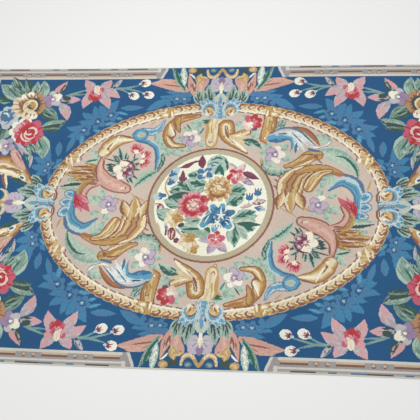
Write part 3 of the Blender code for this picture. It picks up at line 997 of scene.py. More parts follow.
# The crimson rose, its petals fraying into pink, round a pale folded middle.
rose(-8.9, -0.2, [(number * 30 + 12, 7.2, 4.2,
                   ("crimson", "crimson", "crimson", "rose", "pink")) for number in range(12)],
     streak=0.35)
rose(-8.4, -0.4, [(number * 60 + 30, 5.4, 4.6, ("deep crimson", "crimson",
                                                "crimson")) for number in range(6)], streak=0.4)
disc(-8.4, -0.2, 4.0, 3.6, ("rose", "pink", "blush", "ivory", "blush"), fray=0.35)
for x, y, radius, first, last, half, wool in (
        (-8.6, -0.6, 3.4, 150, 290, 0.35, "crimson"), (-8.2, -0.4, 2.6, -60, 80, 0.35, "rose"),
        (-8.6, 0.2, 1.7, 160, 350, 0.3, "rust"), (-8.2, 0.8, 1.2, 0, 170, 0.25, "rust")):
    stroke(wool, half, arc(x, y, radius, first, last, 5))
for x, y, petal_turn in ((-5.6, 3.2, -10), (-5.6, -2.6, 12)):
    petal(x, y, petal_turn, 4.4, 4.4, ("deep crimson", "crimson", "crimson", "rose"), fray=0.3,
          outline="pink", rim=0.25)

# The gold rose above it.
rose(2.5, 8.4, [(12 + 30 * number, 6.7, 3.8,
                 ("brown", "rust", "brown", "dark gold", "tan rose",
                  "pale gold")) for number in range(12)], streak=0.4)
disc(2.5, 8.7, 3.9, 3.6, ("dark gold", "pale gold", "cream", "cream"), fray=0.4)
for x, y, radius, first, last, half, wool in (
        (2.6, 8.6, 2.8, 170, 350, 0.45, "gold"), (2.6, 9.2, 1.6, -20, 130, 0.3, "brown"),
        (2.9, 8.6, 1.4, 150, 320, 0.3, "dark gold"), (2.6, 8.4, 4.3, 200, 320, 0.5, "brown")):
    stroke(wool, half, arc(x, y, radius, first, last, 5))
leaf(-1.6, 5, 0.6, 1.4, 1.8, "rust")

PINK_FLOWER = (("blush", "rose", "rose"), ("blush", "crimson", "crimson"), ("blush", "crimson", "crimson"),
               ("blush", "rose", "rose"), ("blush", "rose", "pink"))
pansy(10.2, 15.2, 4.4, PINK_FLOWER, turn=50, heart="pink", eye="white")
pansy(3.4, -17.6, 4.3, (PINK_FLOWER[1], PINK_FLOWER[0], PINK_FLOWER[4], PINK_FLOWER[4], PINK_FLOWER[0]),
      turn=84, heart="rose", eye="white")
print("round centre worked")

# %% [markdown]
# ## Corner sprays
#
# One spray fills each corner of the blue field: gold, red and pale-blue blooms with a pansy, an orchid
# and three buds on long stems. It is drawn for the upper left and turned over for the others.

# %% Corner leaves and stems
DARK_LEAF = ("charcoal green", "pine", "charcoal green", "charcoal green", "deep sage", "charcoal green",
             "sage", "deep sage")
STRIPED_LEAF = ("deep sage", "charcoal green", "charcoal green", "mint", "deep sage", "sage")
PALE_LEAF = ("sage", "mint", "deep sage", "sage", "deep sage", "sage", "mint")


def spray_leaves():
    """The leaves and stems of a corner spray."""
    for x0, y0, x1, y1, width, wools, bend in (
            (-109.5, 58, -116.4, 60.2, 5, PINES, 0), (-104, 60, -115.8, 68.4, 8, PALE_LEAF, 0),
            (-103.6, 61, -110.4, 69.4, 5, PALE_LEAF, 0), (-101.5, 61, -109.6, 73.2, 8, DARK_LEAF, 0.04),
            (-99.6, 60, -103, 71.9, 5.8, DARK_LEAF, -0.12), (-96.6, 60.5, -98.2, 67.6, 3, PALE_LEAF, 0),
            (-95.6, 60.5, -96.2, 70.6, 4.4, PALE_LEAF, 0), (-92.6, 60.5, -93, 71, 6, PALE_LEAF, -0.08),
            (-93, 53.5, -81.6, 45.4, 7.6, DARK_LEAF, 0.06),
            (-89.5, 42.4, -77.4, 46.6, 6.4, STRIPED_LEAF, -0.06),
            (-89.8, 41.2, -79.4, 41.4, 3.6, DARK_LEAF, 0), (-91.4, 37.4, -86, 24.4, 8.4, PALE_LEAF, 0.1),
            (-94, 35, -89.6, 27.4, 4.6, STRIPED_LEAF, 0), (-95.5, 32.5, -92, 20.2, 3.4, STRIPED_LEAF, 0),
            (-91.6, 25.8, -91.9, 19.2, 1.6, ("grey lilac", "silver"), 0),
            (-105, 41.6, -113.5, 36, 7, STRIPED_LEAF, 0), (-108, 42, -115, 31, 5, DARK_LEAF, 0),
            (-103.4, 37.4, -96.4, 26, 3.2, ("slate", "grey lilac", "silver"), 0),
            (-101, 33, -93.4, 26.4, 2.4, ("grey lilac", "silver"), 0)):
        striped(x0, y0, x1, y1, width, wools, bend)
    strokes("charcoal green", (0.4, -111.8, 67, -109, 64, -105.4, 60.4),
            (0.6, -97, 64.6, -96.2, 62, -95, 60.6), (0.3, -93.2, 67.4, -94.4, 63),
            (0.9, -88.6, 42.6, -84, 43.4, -80.6, 44.4), (0.4, -91, 36.4, -88.6, 32.6),
            (0.4, -92.4, 35.6, -91, 32), (0.35, -103, 72.6, -100, 67.4))
    strokes("pine", (0.5, -96.6, 64.8, -96.2, 62.6), (0.45, -90, 34.4, -87.4, 30.6))
    strokes("sage", (0.4, -106.6, 70.6, -103, 65.6, -101.2, 63), (0.3, -104.6, 66.2, -102.4, 64.4),
            (0.35, -101.6, 67.6, -100.4, 64.6), (0.4, -89.6, 54, -84.4, 49.4),
            (0.35, -90.4, 50.8, -86.4, 48.4), (0.3, -107.6, 66.4, -105, 64.2),
            (0.35, -109, 38, -106, 40.4), (0.35, -92.6, 31, -91, 28))
    strokes("mint", (0.35, -109.4, 72.4, -106.8, 69), (0.3, -103, 60.4, -107.6, 60.4))
    strokes("stem", (0.55, -79.8, 61.6, -75, 63.2, -69, 65.2), (0.45, -79.6, 61, -75, 62.2, -69, 62.4),
            (0.65, -60, 65.4, -54, 65.9, -48.5, 66.1, -42.4, 67.6),
            (0.45, -54.6, 65.8, -50.6, 64.9, -46.6, 62.8), (0.45, -50, 65.9, -45, 64.8, -39.6, 63.3))
    strokes("sage", (0.25, -78, 62.4, -72, 64), (0.3, -58, 65.2, -52, 65.7), (0.2, -47, 65, -42, 64))
    leaf(-55.8, 66.2, -51.2, 71.6, 2.8, ("grey lilac", "silver"), fray=0.4)
    strokes("charcoal green", (0.5, -55.9, 66.4, -54, 66.8), (0.4, -53.5, 68.6, -52.9, 69.2),
            (0.25, -55.6, 67.6, -53.4, 70.4))
    for x, y, bud_turn in ((-38.9, 69, 8), (-44.2, 61.3, -28), (-36.6, 61.8, -20)):
        bud(x, y, bud_turn, 2.5)


print("corner leaves, ready to work")

# %% Corner flowers
def pointed_sepal(x0, y0, x1, y1, width, bend=0.0):
    """A long pink sepal with a fine rib, grey at its base."""
    leaf(x0, y0, x1, y1, width, ("grey lilac", "silver", "soft pink", "soft pink", "soft pink"),
         by="along", bend=bend, fray=0.45, streak=0.9)
    leaf(x0, y0, x0 + 0.75 * (x1 - x0), y0 + 0.75 * (y1 - y0), width * 0.16, ("grey lilac", "pink"),
         bend=bend)


def spray_flowers():
    """The flowers of a corner spray."""
    # The pale-blue rose at the outside, half hidden by the gold one.
    rose(-108.6, 49, ((60, 7.4, 7, ("slate", "sky", "ice", "silver")),
                      (10, 6.6, 6.4, ("slate", "silver", "silver")),
                      (-40, 7, 7, ("slate", "silver", "ice")),
                      (-90, 7.6, 6.4, ("slate", "silver", "silver")),
                      (110, 6, 5, ("deep blue", "slate", "ice")),
                      (160, 5.6, 5, ("deep blue", "slate", "ice")), (215, 6, 5.4, ("slate", "silver"))))
    disc(-109.8, 48.2, 2.6, 4.2, ("slate", "deep blue", "slate"), turn=15, fray=0.5)
    stroke("ice", 0.6, arc(-110.4, 48.4, 2.4, 100, 0, 3))
    stroke("ice", 0.5, arc(-109.6, 46.6, 1.7, 190, 330, 3))
    stroke("white", 0.35, arc(-110.6, 48.8, 2.2, 110, 30, 3))
    # The gold rose: cream-tipped petals to the left, rust ones to the right, a folded bud in the middle.
    left = ("brown", "rust", "tan rose", "tan rose", "tan", "cream")
    right = ("charcoal green", "charcoal green", "brown", "brown", "tan rose")
    rose(-97.4, 56, ((222, 9.4, 7, left), (195, 10, 7, left), (168, 10, 7, left),
                     (255, 8.6, 7, ("charcoal green", "brown", "dark gold", "tan", "cream")),
                     (288, 8.8, 7, ("charcoal green", "dark gold", "brown", "cream", "ivory")),
                     (318, 7.6, 5, right), (345, 8, 6, right), (15, 7.8, 6, right), (48, 8, 6, right),
                     (70, 7.8, 5, right), (100, 7.8, 6,
                                           ("charcoal green", "brown", "dark gold", "tan", "ivory")),
                     (130, 8.2, 6, ("charcoal green", "brown", "gold", "pale gold", "ivory"))), streak=0.6)
    strokes("brown", (0.6, -104, 57.4, -101.4, 52), (0.45, -103, 58.8, -100.6, 54),
            (0.35, -101, 62.2, -99.8, 59.8), (0.35, -98.6, 62.4, -98.4, 60), (0.3, -96.6, 62, -96.6, 60),
            (0.35, -99.6, 49, -98.8, 51), (0.35, -97, 48.6, -96.8, 50.8), (0.3, -94.8, 49.4, -95, 51.4))
    strokes("tan rose", (0.3, -106.4, 59.4, -103, 57.4), (0.3, -106.8, 56.6, -103.6, 55.6),
            (0.3, -105.4, 53.2, -102.6, 53), (0.3, -102.8, 50.2, -101, 51.6))
    disc(-96.9, 55.6, 4.2, 4.4, "charcoal green", fullness=2.4)
    disc(-98, 55, 3.8, 3.6, ("cream", "pale gold", "cream"), turn=35, by="side", fray=0.3)
    stroke("cream", 0.5, arc(-97.8, 55.2, 3.6, 140, -30, 5))
    strokes("cream", (0.9, -98.6, 51.6, -94, 51))
    disc(-96.5, 55.8, 1.5, 2.4, ("gold", "dark gold", "gold"), turn=25, by="side", fray=0.5)
    strokes("charcoal green", (0.5, -99.6, 55.6, -98.2, 54.2, -96, 53.4), (0.3, -98.6, 56.2, -97.4, 53.8))
    # The red rose below it on its cream rim.
    rose(-97, 40, ((150, 9, 6, ("rose", "cream", "ivory")), (182, 9.2, 6, ("rose", "cream", "ivory")),
                   (120, 8.4, 5, ("cream", "ivory")), (214, 8.6, 5.4, ("cream", "ivory")),
                   (92, 7.6, 5, ("cream", "ivory")), (240, 7.6, 5, "blush")), streak=0.6)
    deep = ("deep crimson", "crimson", "crimson", "crimson", "crimson", "rose")
    bright = ("crimson", "deep crimson", "crimson", "crimson", "crimson", "rose")
    pale = ("crimson", "crimson", "rose", "soft pink")
    rose(-96.6, 39.8, ((205, 7, 5.4, deep), (170, 7.8, 5, pale), (148, 7.4, 4.6, pale),
                       (235, 7.6, 5.4, bright), (272, 8, 7, deep), (310, 8.4, 6.4, bright),
                       (345, 8.6, 6.6, deep), (15, 8, 6, bright), (48, 8.2, 6.6, deep),
                       (108, 7.6, 5, bright), (128, 7, 4, pale)))
    disc(-96.8, 40.6, 3.6, 3.6, ("crimson", "crimson", "deep crimson"), fray=0.4)
    for x, y, radius, first, last, half, wool in (
            (-94.6, 39.6, 2.7, 130, -50, 0.6, "blush"), (-95, 38.6, 2.9, 140, 330, 0.5, "blush"),
            (-95.6, 38.4, 4.0, 170, 290, 0.5, "blush"), (-94.4, 39.6, 1.5, 110, 320, 0.4, "rose"),
            (-95.8, 40, 1.8, 190, 330, 0.35, "ivory")):
        stroke(wool, half, arc(x, y, radius, first, last, 5))
    # The lilac pansy beside the gold rose, its three pink sepals, and the orchid.
    leaf(-86, 63.4, -80.2, 70.4, 5, ("charcoal green", "grey lilac", "pink", "pink"), by="side", fray=0.2,
         bend=-0.1)
    strokes("charcoal green", (0.45, -83.4, 64.2, -81, 68.6), (0.3, -82.2, 63.8, -80.6, 66))
    for x0, y0, x1, y1, width, bend in ((-81.4, 59, -71.8, 59.2, 4.6, 0), (-82, 56.4, -77, 46.8, 5.6, 0.1)):
        pointed_sepal(x0, y0, x1, y1, width, bend)
    for y0, y1 in ((61, 60.4), (59.4, 59), (57.4, 57.8), (60.2, 59.8)):
        leaf(-81, y0, -76.6, y1, 1.2, "charcoal green")
    pansy(-86.4, 59.4, 5.0, (("grey lilac", "silver", "silver"), ("violet", "lilac", "lilac"),
                             ("violet", "lilac", "lilac"), ("grey lilac", "silver", "silver"),
                             ("pale mint", "ivory", "ivory")), turn=102, heart="violet", eye="white")
    for x0, y0, x1, y1, width, bend in (
            (-64.6, 65, -70.8, 71.4, 5.2, 0.06), (-62.6, 65, -56.8, 71.2, 5.4, -0.06),
            (-62, 64.4, -51.4, 60.2, 5.4, 0.1), (-62.6, 62.4, -56, 53.8, 5.4, 0.08),
            (-64.6, 62.6, -69.8, 54, 5.8, -0.12)):
        pointed_sepal(x0, y0, x1, y1, width, bend)
    rose(-64.4, 63.6, ((200, 5.4, 4.4, ("crimson", "rose", "soft pink")),
                       (340, 4.6, 4, ("pink", "rose", "soft pink")),
                       (160, 5.6, 4.4, ("rose", "soft pink", "pink")),
                       (25, 4.6, 4, ("pink", "soft pink", "rose")),
                       (300, 5, 4.4, ("pink", "rose", "crimson", "rose")),
                       (236, 5.4, 4.4, ("rose", "crimson", "crimson", "rose")),
                       (268, 5.4, 4, ("pink", "crimson", "crimson"))), streak=0.5)
    disc(-64, 65.4, 1.6, 2.4, ("ivory", "cream", "ivory"), fray=0.2)
    leaf(-64, 64.6, -62.2, 61.6, 1.4, ("ivory", "blush"))
    tongue([(-64, 66.8), (-64, 64.8)], 0.22, "pale gold")
    # The lower pansy beside the outer scroll.
    pansy(-106.4, 31.4, 4.9, (("violet", "lilac", "grey lilac"), ("grey lilac", "silver", "silver"),
                              ("silver", "silver", "ivory"), ("grey lilac", "silver", "silver"),
                              ("violet", "lilac", "grey lilac")), turn=60, heart="violet", eye="white")


print("corner flowers, ready to work")

# %% [markdown]
# ## The poles of the wreath
#
# A blue bracket with two shells clasps the wreath at its four poles. It is drawn as half of the top one,
# turned over for the other half, and moved round for the sides, where it sits a little wider. A ruffled
# lilac flower stands on each.

# %% Pole flower and bracket
def pole_flower():
    """Half of the ruffled lilac flower that stands on a pole."""
    for x, y, radius in (
            (-3.4, 69.4, 2.0), (-2, 70.3, 1.4), (-4.3, 67.4, 1.5), (-3.8, 65.6, 1.5), (-2.5, 64.4, 1.5),
            (-2, 67, 2.6)):
        disc(x, y, radius, radius, ("silver", "pale lilac", "pale lilac"), fray=0.5)
    disc(-2.3, 66.2, 1.8, 2.6, ("pale lilac", "silver"), by="side", fray=0.7)
    strokes("lilac", (0.2, -1.4, 66.4, -3.4, 68.4), (0.2, -1.2, 65.4, -3.4, 65.6))
    leaf(0, 67.6, -0.3, 72.4, 3.2, "violet")
    tongue([(0, 62.8), (0, 65), (0, 68.4)], (0.7, 1.25, 0.4), ("ivory", "ivory", "cream"), by="along")


def pole_half(shell_x):
    """Half of a pole; its shell sits shell_x cm from the axis."""
    # The two hatched leaves behind the bracket.
    for x0, y0, x1, y1, width in (
            (-9.6, 56, -13.9, 61.2, 3.4), (-9.8, 56.4, -12.2, 64.8, 4.8), (-8.8, 57, -9.6, 63.2, 3.6),
            (-6.8, 58.4, -8.6, 64.2, 3.2), (-5.2, 57.8, -6.4, 67.4, 5), (-4.4, 57.8, -3.5, 63, 3.2)):
        leaf(x0, y0, x1, y1, width, ("mint", "sage", "sage"), slant=1.6, fray=0.5, streak=0.8)
    disc(-9.4, 56.8, 1.1, 1.2, "charcoal green", fullness=3)
    disc(-5.2, 58.3, 1.5, 1.0, "charcoal green", fullness=3)
    strokes("charcoal green", (0.36, -8.9, 56.6, -9.7, 59, -10, 61.4),
            (0.4, -9.6, 56.6, -11, 59.2, -11.9, 62.4), (0.36, -10.2, 56.2, -11.9, 58.2, -13, 60.4),
            (0.3, -9.8, 56.2, -8.4, 53.8), (0.36, -4.3, 58.4, -4.6, 60.6, -4.5, 62.4),
            (0.42, -5.2, 58.4, -5.9, 61.4, -6.3, 65), (0.38, -6.2, 58.2, -7.4, 60.4, -8, 62.8),
            (0.26, -10.6, 60.4, -10.9, 63.2))
    disc(-7.8, 59.4, 0.42, 0.9, "navy", turn=20, outline="mint", rim=0.1)
    # The bracket: a crown of pointed leaves round the shell, and a waist between the two shells.
    for x1, y1, width in ((-5.4, 4.4, 3.8), (-1.8, 6.2, 3.4), (1.4, 5, 3.4), (-5, -0.6, 3.4)):
        leaf(-shell_x, 53.4, x1 - shell_x, 53.4 + y1, width, ("ice", "sky", "sky", "ice"), by="side",
             fray=0.15)
    disc(-shell_x - 0.1, 52.8, 3.8, 4.2, ("ice", "sky", "sky", "slate"), fray=0.1)
    tongue([(-0.5, 49.4), (-0.3, 52.2), (-0.4, 55.6)], (2.2, 1.5, 1.0, 1.4, 2.3), ("ice", "sky", "sky"),
           fray=0.15)
    strokes("ice", (0.35, -5.4, 47.8, -3, 47.2, -1.6, 48.2), (0.25, -1.9, 53.6, -2.1, 50.6, -1.4, 48.6))
    tongue([(0, 62.6), (-0.8, 60.6), (-1.2, 58), (-0.9, 56)], (0.3, 1.5, 2.3, 1.2),
           ("silver", "ice", "silver"), by="side", fray=0.3)
    leaf(-1.4, 56.6, -0.3, 62.8, 3.6, ("silver", "pale mint"), by="side", fray=0.6)
    tongue([(0, 60.4), (0, 58.4), (0, 56.6)], (0.2, 0.9, 0.7), "sky")
    disc(-1.5, 56, 0.42, 0.95, "navy", turn=22)
    disc(-shell_x, 51.9, 2.4, 3.1, "brown")
    disc(0.1 - shell_x, 52, 1.9, 2.5, ("cream", "gold", "pale gold"), by="side", turn=60, fray=0.2)
    strokes("cream", (0.8, -1.3 - shell_x, 51.2, -1 - shell_x, 49.8, 0.3 - shell_x, 49.6))
    strokes("ivory", (0.4, -1.5 - shell_x, 50.8, -0.9 - shell_x, 49.5))
    strokes("brown", (0.35, -1.2 - shell_x, 52.4, -0.3 - shell_x, 51.6, -shell_x, 50.2))
    for y in (55.2, 53, 50.8, 49):
        disc(0, y, 0.62, 0.6, "silver", outline="bar brown", rim=0.18)


print("half a pole, ready to work")

# %% Crests of the top and side poles
def top_crest():
    """The salmon, green and gold leaves that only the top and bottom poles have."""
    leaf(-17.2, 64.2, -36.6, 68.8, 6.8, ("peach", "salmon", "salmon", "salmon"), by="side", bend=-0.08,
         fray=0.3, saw=0.12)
    leaf(-18.4, 66.4, -32.6, 71, 3.4, SALMONS, by="side", bend=-0.06, fray=0.3)
    strokes("brown", (0.35, -17.6, 64.8, -21, 66.6, -30, 68.1), (0.2, -20, 67, -26, 70.2))
    leaf(-18.4, 64.6, -26, 78.4, 3.8, ("sage", "pine", "sage"), by="side", fray=0.2)
    leaf(-19, 67.5, -20.4, 80, 3.8, ("mint", "white", "mint"), by="side", fray=0.3)
    strokes("pine", (0.7, -18.6, 65.6, -21.8, 70.2, -24, 77), (0.3, -20.8, 70.4, -21.6, 73.8))
    disc(-11.3, 75.4, 2.2, 1.6, "charcoal green", turn=-15, fullness=3)
    disc(-15.4, 76.4, 2.1, 1.7, ("gold", "pale gold"))
    disc(-4.6, 76.2, 1.8, 1.3, ("slate", "sage"))
    tongue([(-7.6, 76.4), (-6.8, 73.2), (-4.6, 72), (-2.4, 73.3), (-1.1, 75.8)], (0.5, 0.9, 1.1, 0.9, 0.6),
           ("pale gold", "cream", "gold"), by="side")
    tongue([(-1.9, 74), (-0.9, 75.8), (0, 76.6)], (0.5, 0.8, 0.8), "gold")
    tongue([(-9.9, 62.6), (-10.6, 66), (-10.4, 70.6)], (1.2, 2.3, 2.3, 1.8), SALMONS, by="side", fray=0.2)
    leaf(-12, 68.6, -10.8, 74.6, 4, ("gold", "pale gold", "gold"), by="side")
    leaf(-11.6, 72, -6.8, 71.2, 2.2, ("gold", "pale gold"), by="side")
    leaf(-9, 66, -6.8, 71.6, 2.4, "salmon")
    tongue([(-12.6, 60.6), (-14.4, 65), (-16, 70), (-17, 74.4)], (1.0, 2.1, 2.1, 1.2, 0.2),
           ("peach", "salmon", "salmon"), by="side", outline="brown", rim=0.22)
    strokes("brown", (0.45, -13.3, 63.4, -14.4, 66.4, -14.8, 69), (0.3, -13.3, 66.6, -13.1, 64),
            (0.25, -15.3, 65.6, -15.9, 70))
    strokes("white", (0.5, -16.6, 74.2, -15, 73, -13.8, 71.4))


def side_crest():
    """The gold beaked scroll and curls beyond the left and right poles."""
    scroll([(-110.6, 21.4), (-106, 21.2), (-101, 19.6), (-95, 15.8), (-89.4, 10.6)], 4.8,
           ("cream", "cream", "gold", "dark gold", "cream", "tan", "gold", "dark gold", "brown"), "taper",
           fray=0.12, line_cm=0.3)
    strokes("salmon", (0.7, -112, 22.4, -107, 22.6, -103, 21.8))
    strokes("cream", (0.6, -110, 20.6, -104.6, 20.9, -100, 19.6),
            (0.9, -106, 15.6, -100, 15.4, -95.6, 13.2))
    strokes("ivory", (0.8, -108, 17.2, -102, 16.9, -97, 14.8))
    strokes("gold", (0.6, -93, 14.8, -91, 11.4))
    strokes("brown", (0.4, -107, 18.6, -101, 18.8, -95, 16.6), (0.3, -103, 14.2, -98.4, 13.4, -94, 11.4))
    disc(-94.5, 13.6, 2.0, 1.15, "white", turn=-30)
    disc(-94.7, 13.7, 1.15, 0.6, "navy", turn=-30)
    # The stalk below it and the curls that meet on the axis.
    tongue([(-104, 14.6), (-103.2, 12), (-102.2, 9.4), (-101.6, 7.6)], (1.3, 1.3, 1.1, 0.4),
           ("brown", "brown", "cream", "ivory"), by="side", fray=0.15)
    leaf(-99.6, 12.8, -92.8, 9.6, 2.6, ("pine", "charcoal green"), bend=0.1, fray=0.4)
    tongue([(-103.8, 7.2), (-101.2, 5.4), (-101, 2), (-103.6, 0)], (0.4, 1.1, 1.3, 0.9),
           ("tan", "cream", "tan"), by="side", fray=0.2)
    strokes("ice", (0.35, -104.6, 7.1, -102.8, 6.9))
    tongue([(-102.6, 0), (-104.4, 0), (-106.6, 0)], (0.9, 0.9, 0.3), ("gold", "dark gold"), by="along",
           fray=0.2)
    # The salmon leaf above, and the brown line inside the bracket.
    leaf(-103, 30.6, -93.4, 17.6, 4.6, SALMONS, by="side", bend=-0.04, fray=0.3)
    strokes("brown", (0.3, -100.6, 28.2, -98.2, 24.8, -96.4, 22.4), (0.2, -97.2, 25, -96, 23),
            (0.5, -77, 7.8, -75.5, 5, -75.9, 2.2, -78.4, 0.5))


SIDE_POLE_SPREAD = 1.1
SIDE_SHELL_CM, TOP_SHELL_CM = 4.7, 5.2

for fx, fy in QUARTERS:
    turn_work(fx, fy, turned=SIDE_POLE_SPREAD)
    pole_half(SIDE_SHELL_CM)
    turn_work(fx, fy)
    side_crest()
    top_crest()
    spray_leaves()
    spray_flowers()
    pole_half(TOP_SHELL_CM)
    pole_flower()
    turn_work(fx, fy, turned=1.0)
    pole_flower()
turn_work(1, 1)
print("chart done, wools used:", len(np.unique(chart)))

# %% [markdown]
# ## Yarn colours
#
# Hand-dyed wool isn't even: every stitch is a little lighter or darker than its skein, and the ground
# drifts in soft bands where one dye lot follows another.

# %% Yarn colours
YARN_UNEVENNESS = 0.045
LOT_DRIFT = 0.035


def to_linear(colours):
    """Plain 0-255 colours as the renderer's linear light."""
    srgb = np.array(colours, dtype=float) / 255
    return np.where(srgb <= 0.04045, srgb / 12.92, ((srgb + 0.055) / 1.055) ** 2.4)


rng = np.random.default_rng(7)
unevenness = 1 + YARN_UNEVENNESS * rng.standard_normal((ROWS, COLUMNS, 1))
yarn = to_linear(list(SKEINS.values()))[chart] * unevenness
# Dye lots: broad waves in cm, bent a little by each other so that no band is straight.
lots = np.sin(x_all / 9 + 0.8 * np.sin(y_all / 13)) + 0.6 * np.sin(y_all / 3.1 + 1.3 * np.sin(x_all / 17))
yarn = np.clip(yarn * (1 + LOT_DRIFT * lots[..., None]), 0, 1)
print("mean yarn colour:", [round(float(c), 3) for c in yarn.mean(axis=(0, 1))])

# %% [markdown]
# ## Stitches on the canvas
#
# The face is six panels of one square per stitch, each square with its own colour. They meet edge to
# edge and follow the canvas's drift. A second layout, counted in stitches, carries the slanted relief.

# %% Work the face
FACE_Z = 0.0042
PANELS_ACROSS, PANELS_UP = 3, 2


def drifted(x, y):
    """Where a point of the true rectangle lies on the hand-worked rug."""
    return (x + COLUMN_DRIFT * np.sin(2 * math.pi * y / WIDTH),
            y + ROW_DRIFT * np.sin(2 * math.pi * x / LENGTH))


def grid_quads(rows, columns):
    """Corner numbers of the squares of a grid with so many rows and columns of points."""
    corner = (np.arange(rows - 1)[:, None] * columns + np.arange(columns - 1)).reshape(-1, 1)
    return corner + np.array([0, 1, columns + 1, columns])


def new_piece(name, points, faces, material):
    """A mesh object made of points and faces, with one material."""
    mesh = bpy.data.meshes.new(name)
    mesh.from_pydata(points, [], faces)
    mesh.materials.append(material)
    piece = bpy.data.objects.new(name, mesh)
    bpy.context.scene.collection.objects.link(piece)
    return piece


def worked_panel(name, rows, columns, material):
    """The stitches of some rows and columns, as one coloured square each."""
    x, y = np.meshgrid((columns - COLUMNS / 2) * STITCH, (rows - ROWS / 2) * STITCH)
    x, y = drifted(x, y)
    points = np.stack([x, y, np.full_like(x, FACE_Z)], axis=-1).reshape(-1, 3)
    quads = grid_quads(len(rows), len(columns))
    piece = new_piece(name, points, quads, material)
    counted = np.stack(np.meshgrid(columns, rows), axis=-1).reshape(-1, 2).astype(float)
    piece.data.uv_layers.new(name="stitches").data.foreach_set("uv", counted[quads.ravel()].ravel())
    shades = np.ones((len(quads), 4))
    shades[:, :3] = yarn[rows[0]:rows[-1], columns[0]:columns[-1]].reshape(-1, 3)
    piece.data.attributes.new("yarn", "FLOAT_COLOR", "FACE").data.foreach_set("color", shades.ravel())
    return piece


print("panels of the face:", PANELS_ACROSS * PANELS_UP)

# %% [markdown]
# ## Wool
#
# Matt wool with a faint nap. The panels are flat, so the material gives the stitches their relief: a
# rounded strand that leans across each square, with a valley between the rows. The colour carries painted
# shade in the valleys and a painted highlight on the crests, since the bump alone is too fine to show from
# a step away.

# %% Wool material
STRAND_FULLNESS = 0.6
ROW_PARTING = 0.7
ROW_PARTING_SHARPNESS = 4
VALLEY_SHADE = 0.80
CREST_LIGHT = 0.32
RELIEF_STRENGTH = 0.5
STITCH_HEIGHT = 0.0008


def chain(nodes, links):
    """A small helper that adds one math step after another."""
    def step(operation, *values):
        node = nodes.new("ShaderNodeMath")
        node.operation = operation
        for socket, value in zip(node.inputs, values):
            if isinstance(value, (int, float)):
                socket.default_value = value
            else:
                links.new(value, socket)
        return node.outputs[0]
    return step


def wool(name, layout):
    """Coloured wool; `layout` counts the stitches along and across, and each one is raised a little, with
    painted shade in its valleys and a painted highlight on its crest.
    """
    material = bpy.data.materials.new(name)
    material.use_nodes = True
    nodes, links = material.node_tree.nodes, material.node_tree.links
    shader = nodes["Principled BSDF"]
    shader.inputs["Roughness"].default_value = 0.95
    shader.inputs["Specular IOR Level"].default_value = 0.15
    shader.inputs["Sheen Weight"].default_value = 0.08
    shader.inputs["Sheen Roughness"].default_value = 0.6
    place = nodes.new("ShaderNodeUVMap")
    place.uv_map = layout
    split = nodes.new("ShaderNodeSeparateXYZ")
    links.new(place.outputs["UV"], split.inputs["Vector"])
    step = chain(nodes, links)
    lean = step("COSINE", step("MULTIPLY", step("SUBTRACT", split.outputs["X"], split.outputs["Y"]),
                               2 * math.pi))
    across_strand = step("POWER", step("MULTIPLY_ADD", lean, 0.5, 0.5), STRAND_FULLNESS)
    row_place = step("ABSOLUTE", step("MULTIPLY_ADD", step("FRACT", split.outputs["Y"]), 2, -1))
    parting = step("MULTIPLY", step("POWER", row_place, ROW_PARTING_SHARPNESS), ROW_PARTING)
    strand = step("MULTIPLY", across_strand, step("SUBTRACT", 1.0, parting))
    colour = nodes.new("ShaderNodeAttribute")
    colour.attribute_name = "yarn"
    # The yarn colour is scaled by the strand height: painted shade where the strand dips, painted highlight
    # on its crest.
    painted_shade_scale = nodes.new("ShaderNodeVectorMath")
    painted_shade_scale.operation = "SCALE"
    links.new(colour.outputs["Color"], painted_shade_scale.inputs[0])
    links.new(step("ADD", step("MULTIPLY", strand, CREST_LIGHT), VALLEY_SHADE), painted_shade_scale.inputs["Scale"])
    links.new(painted_shade_scale.outputs["Vector"], shader.inputs["Base Color"])
    bump = nodes.new("ShaderNodeBump")
    bump.inputs["Strength"].default_value = RELIEF_STRENGTH
    bump.inputs["Distance"].default_value = STITCH_HEIGHT
    links.new(strand, bump.inputs["Height"])
    links.new(bump.outputs["Normal"], shader.inputs["Normal"])
    return material


face_wool = wool("needlepoint_wool", "stitches")
row_cuts = np.linspace(0, ROWS, PANELS_UP + 1).astype(int)
column_cuts = np.linspace(0, COLUMNS, PANELS_ACROSS + 1).astype(int)
panels = []
for low_row, high_row in zip(row_cuts[:-1], row_cuts[1:]):
    for low_column, high_column in zip(column_cuts[:-1], column_cuts[1:]):
        panels.append(worked_panel(f"needlepoint_{len(panels) + 1}", np.arange(low_row, high_row + 1),
                                   np.arange(low_column, high_column + 1), face_wool))
print("face triangles:", 2 * sum(len(panel.data.polygons) for panel in panels))

# %% [markdown]
# ## The overcast edge
#
# Cream yarn is wrapped over the rim all the way round. It is a soft roll whose wraps stand up as slanted
# ridges, and it follows the solid's outline with its rounded corners.

# %% Edge whipping
CORNER_RADIUS = 0.012
ROLL_HALF_WIDTH = 0.0030
ROLL_HALF_HEIGHT = THICKNESS / 2
WRAP_PITCH = 0.0034
STEPS_PER_WRAP = 3
ROLL_SIDES = 8
WRAP_DEPTH = 0.10
WRAP_SLANT = 0.12


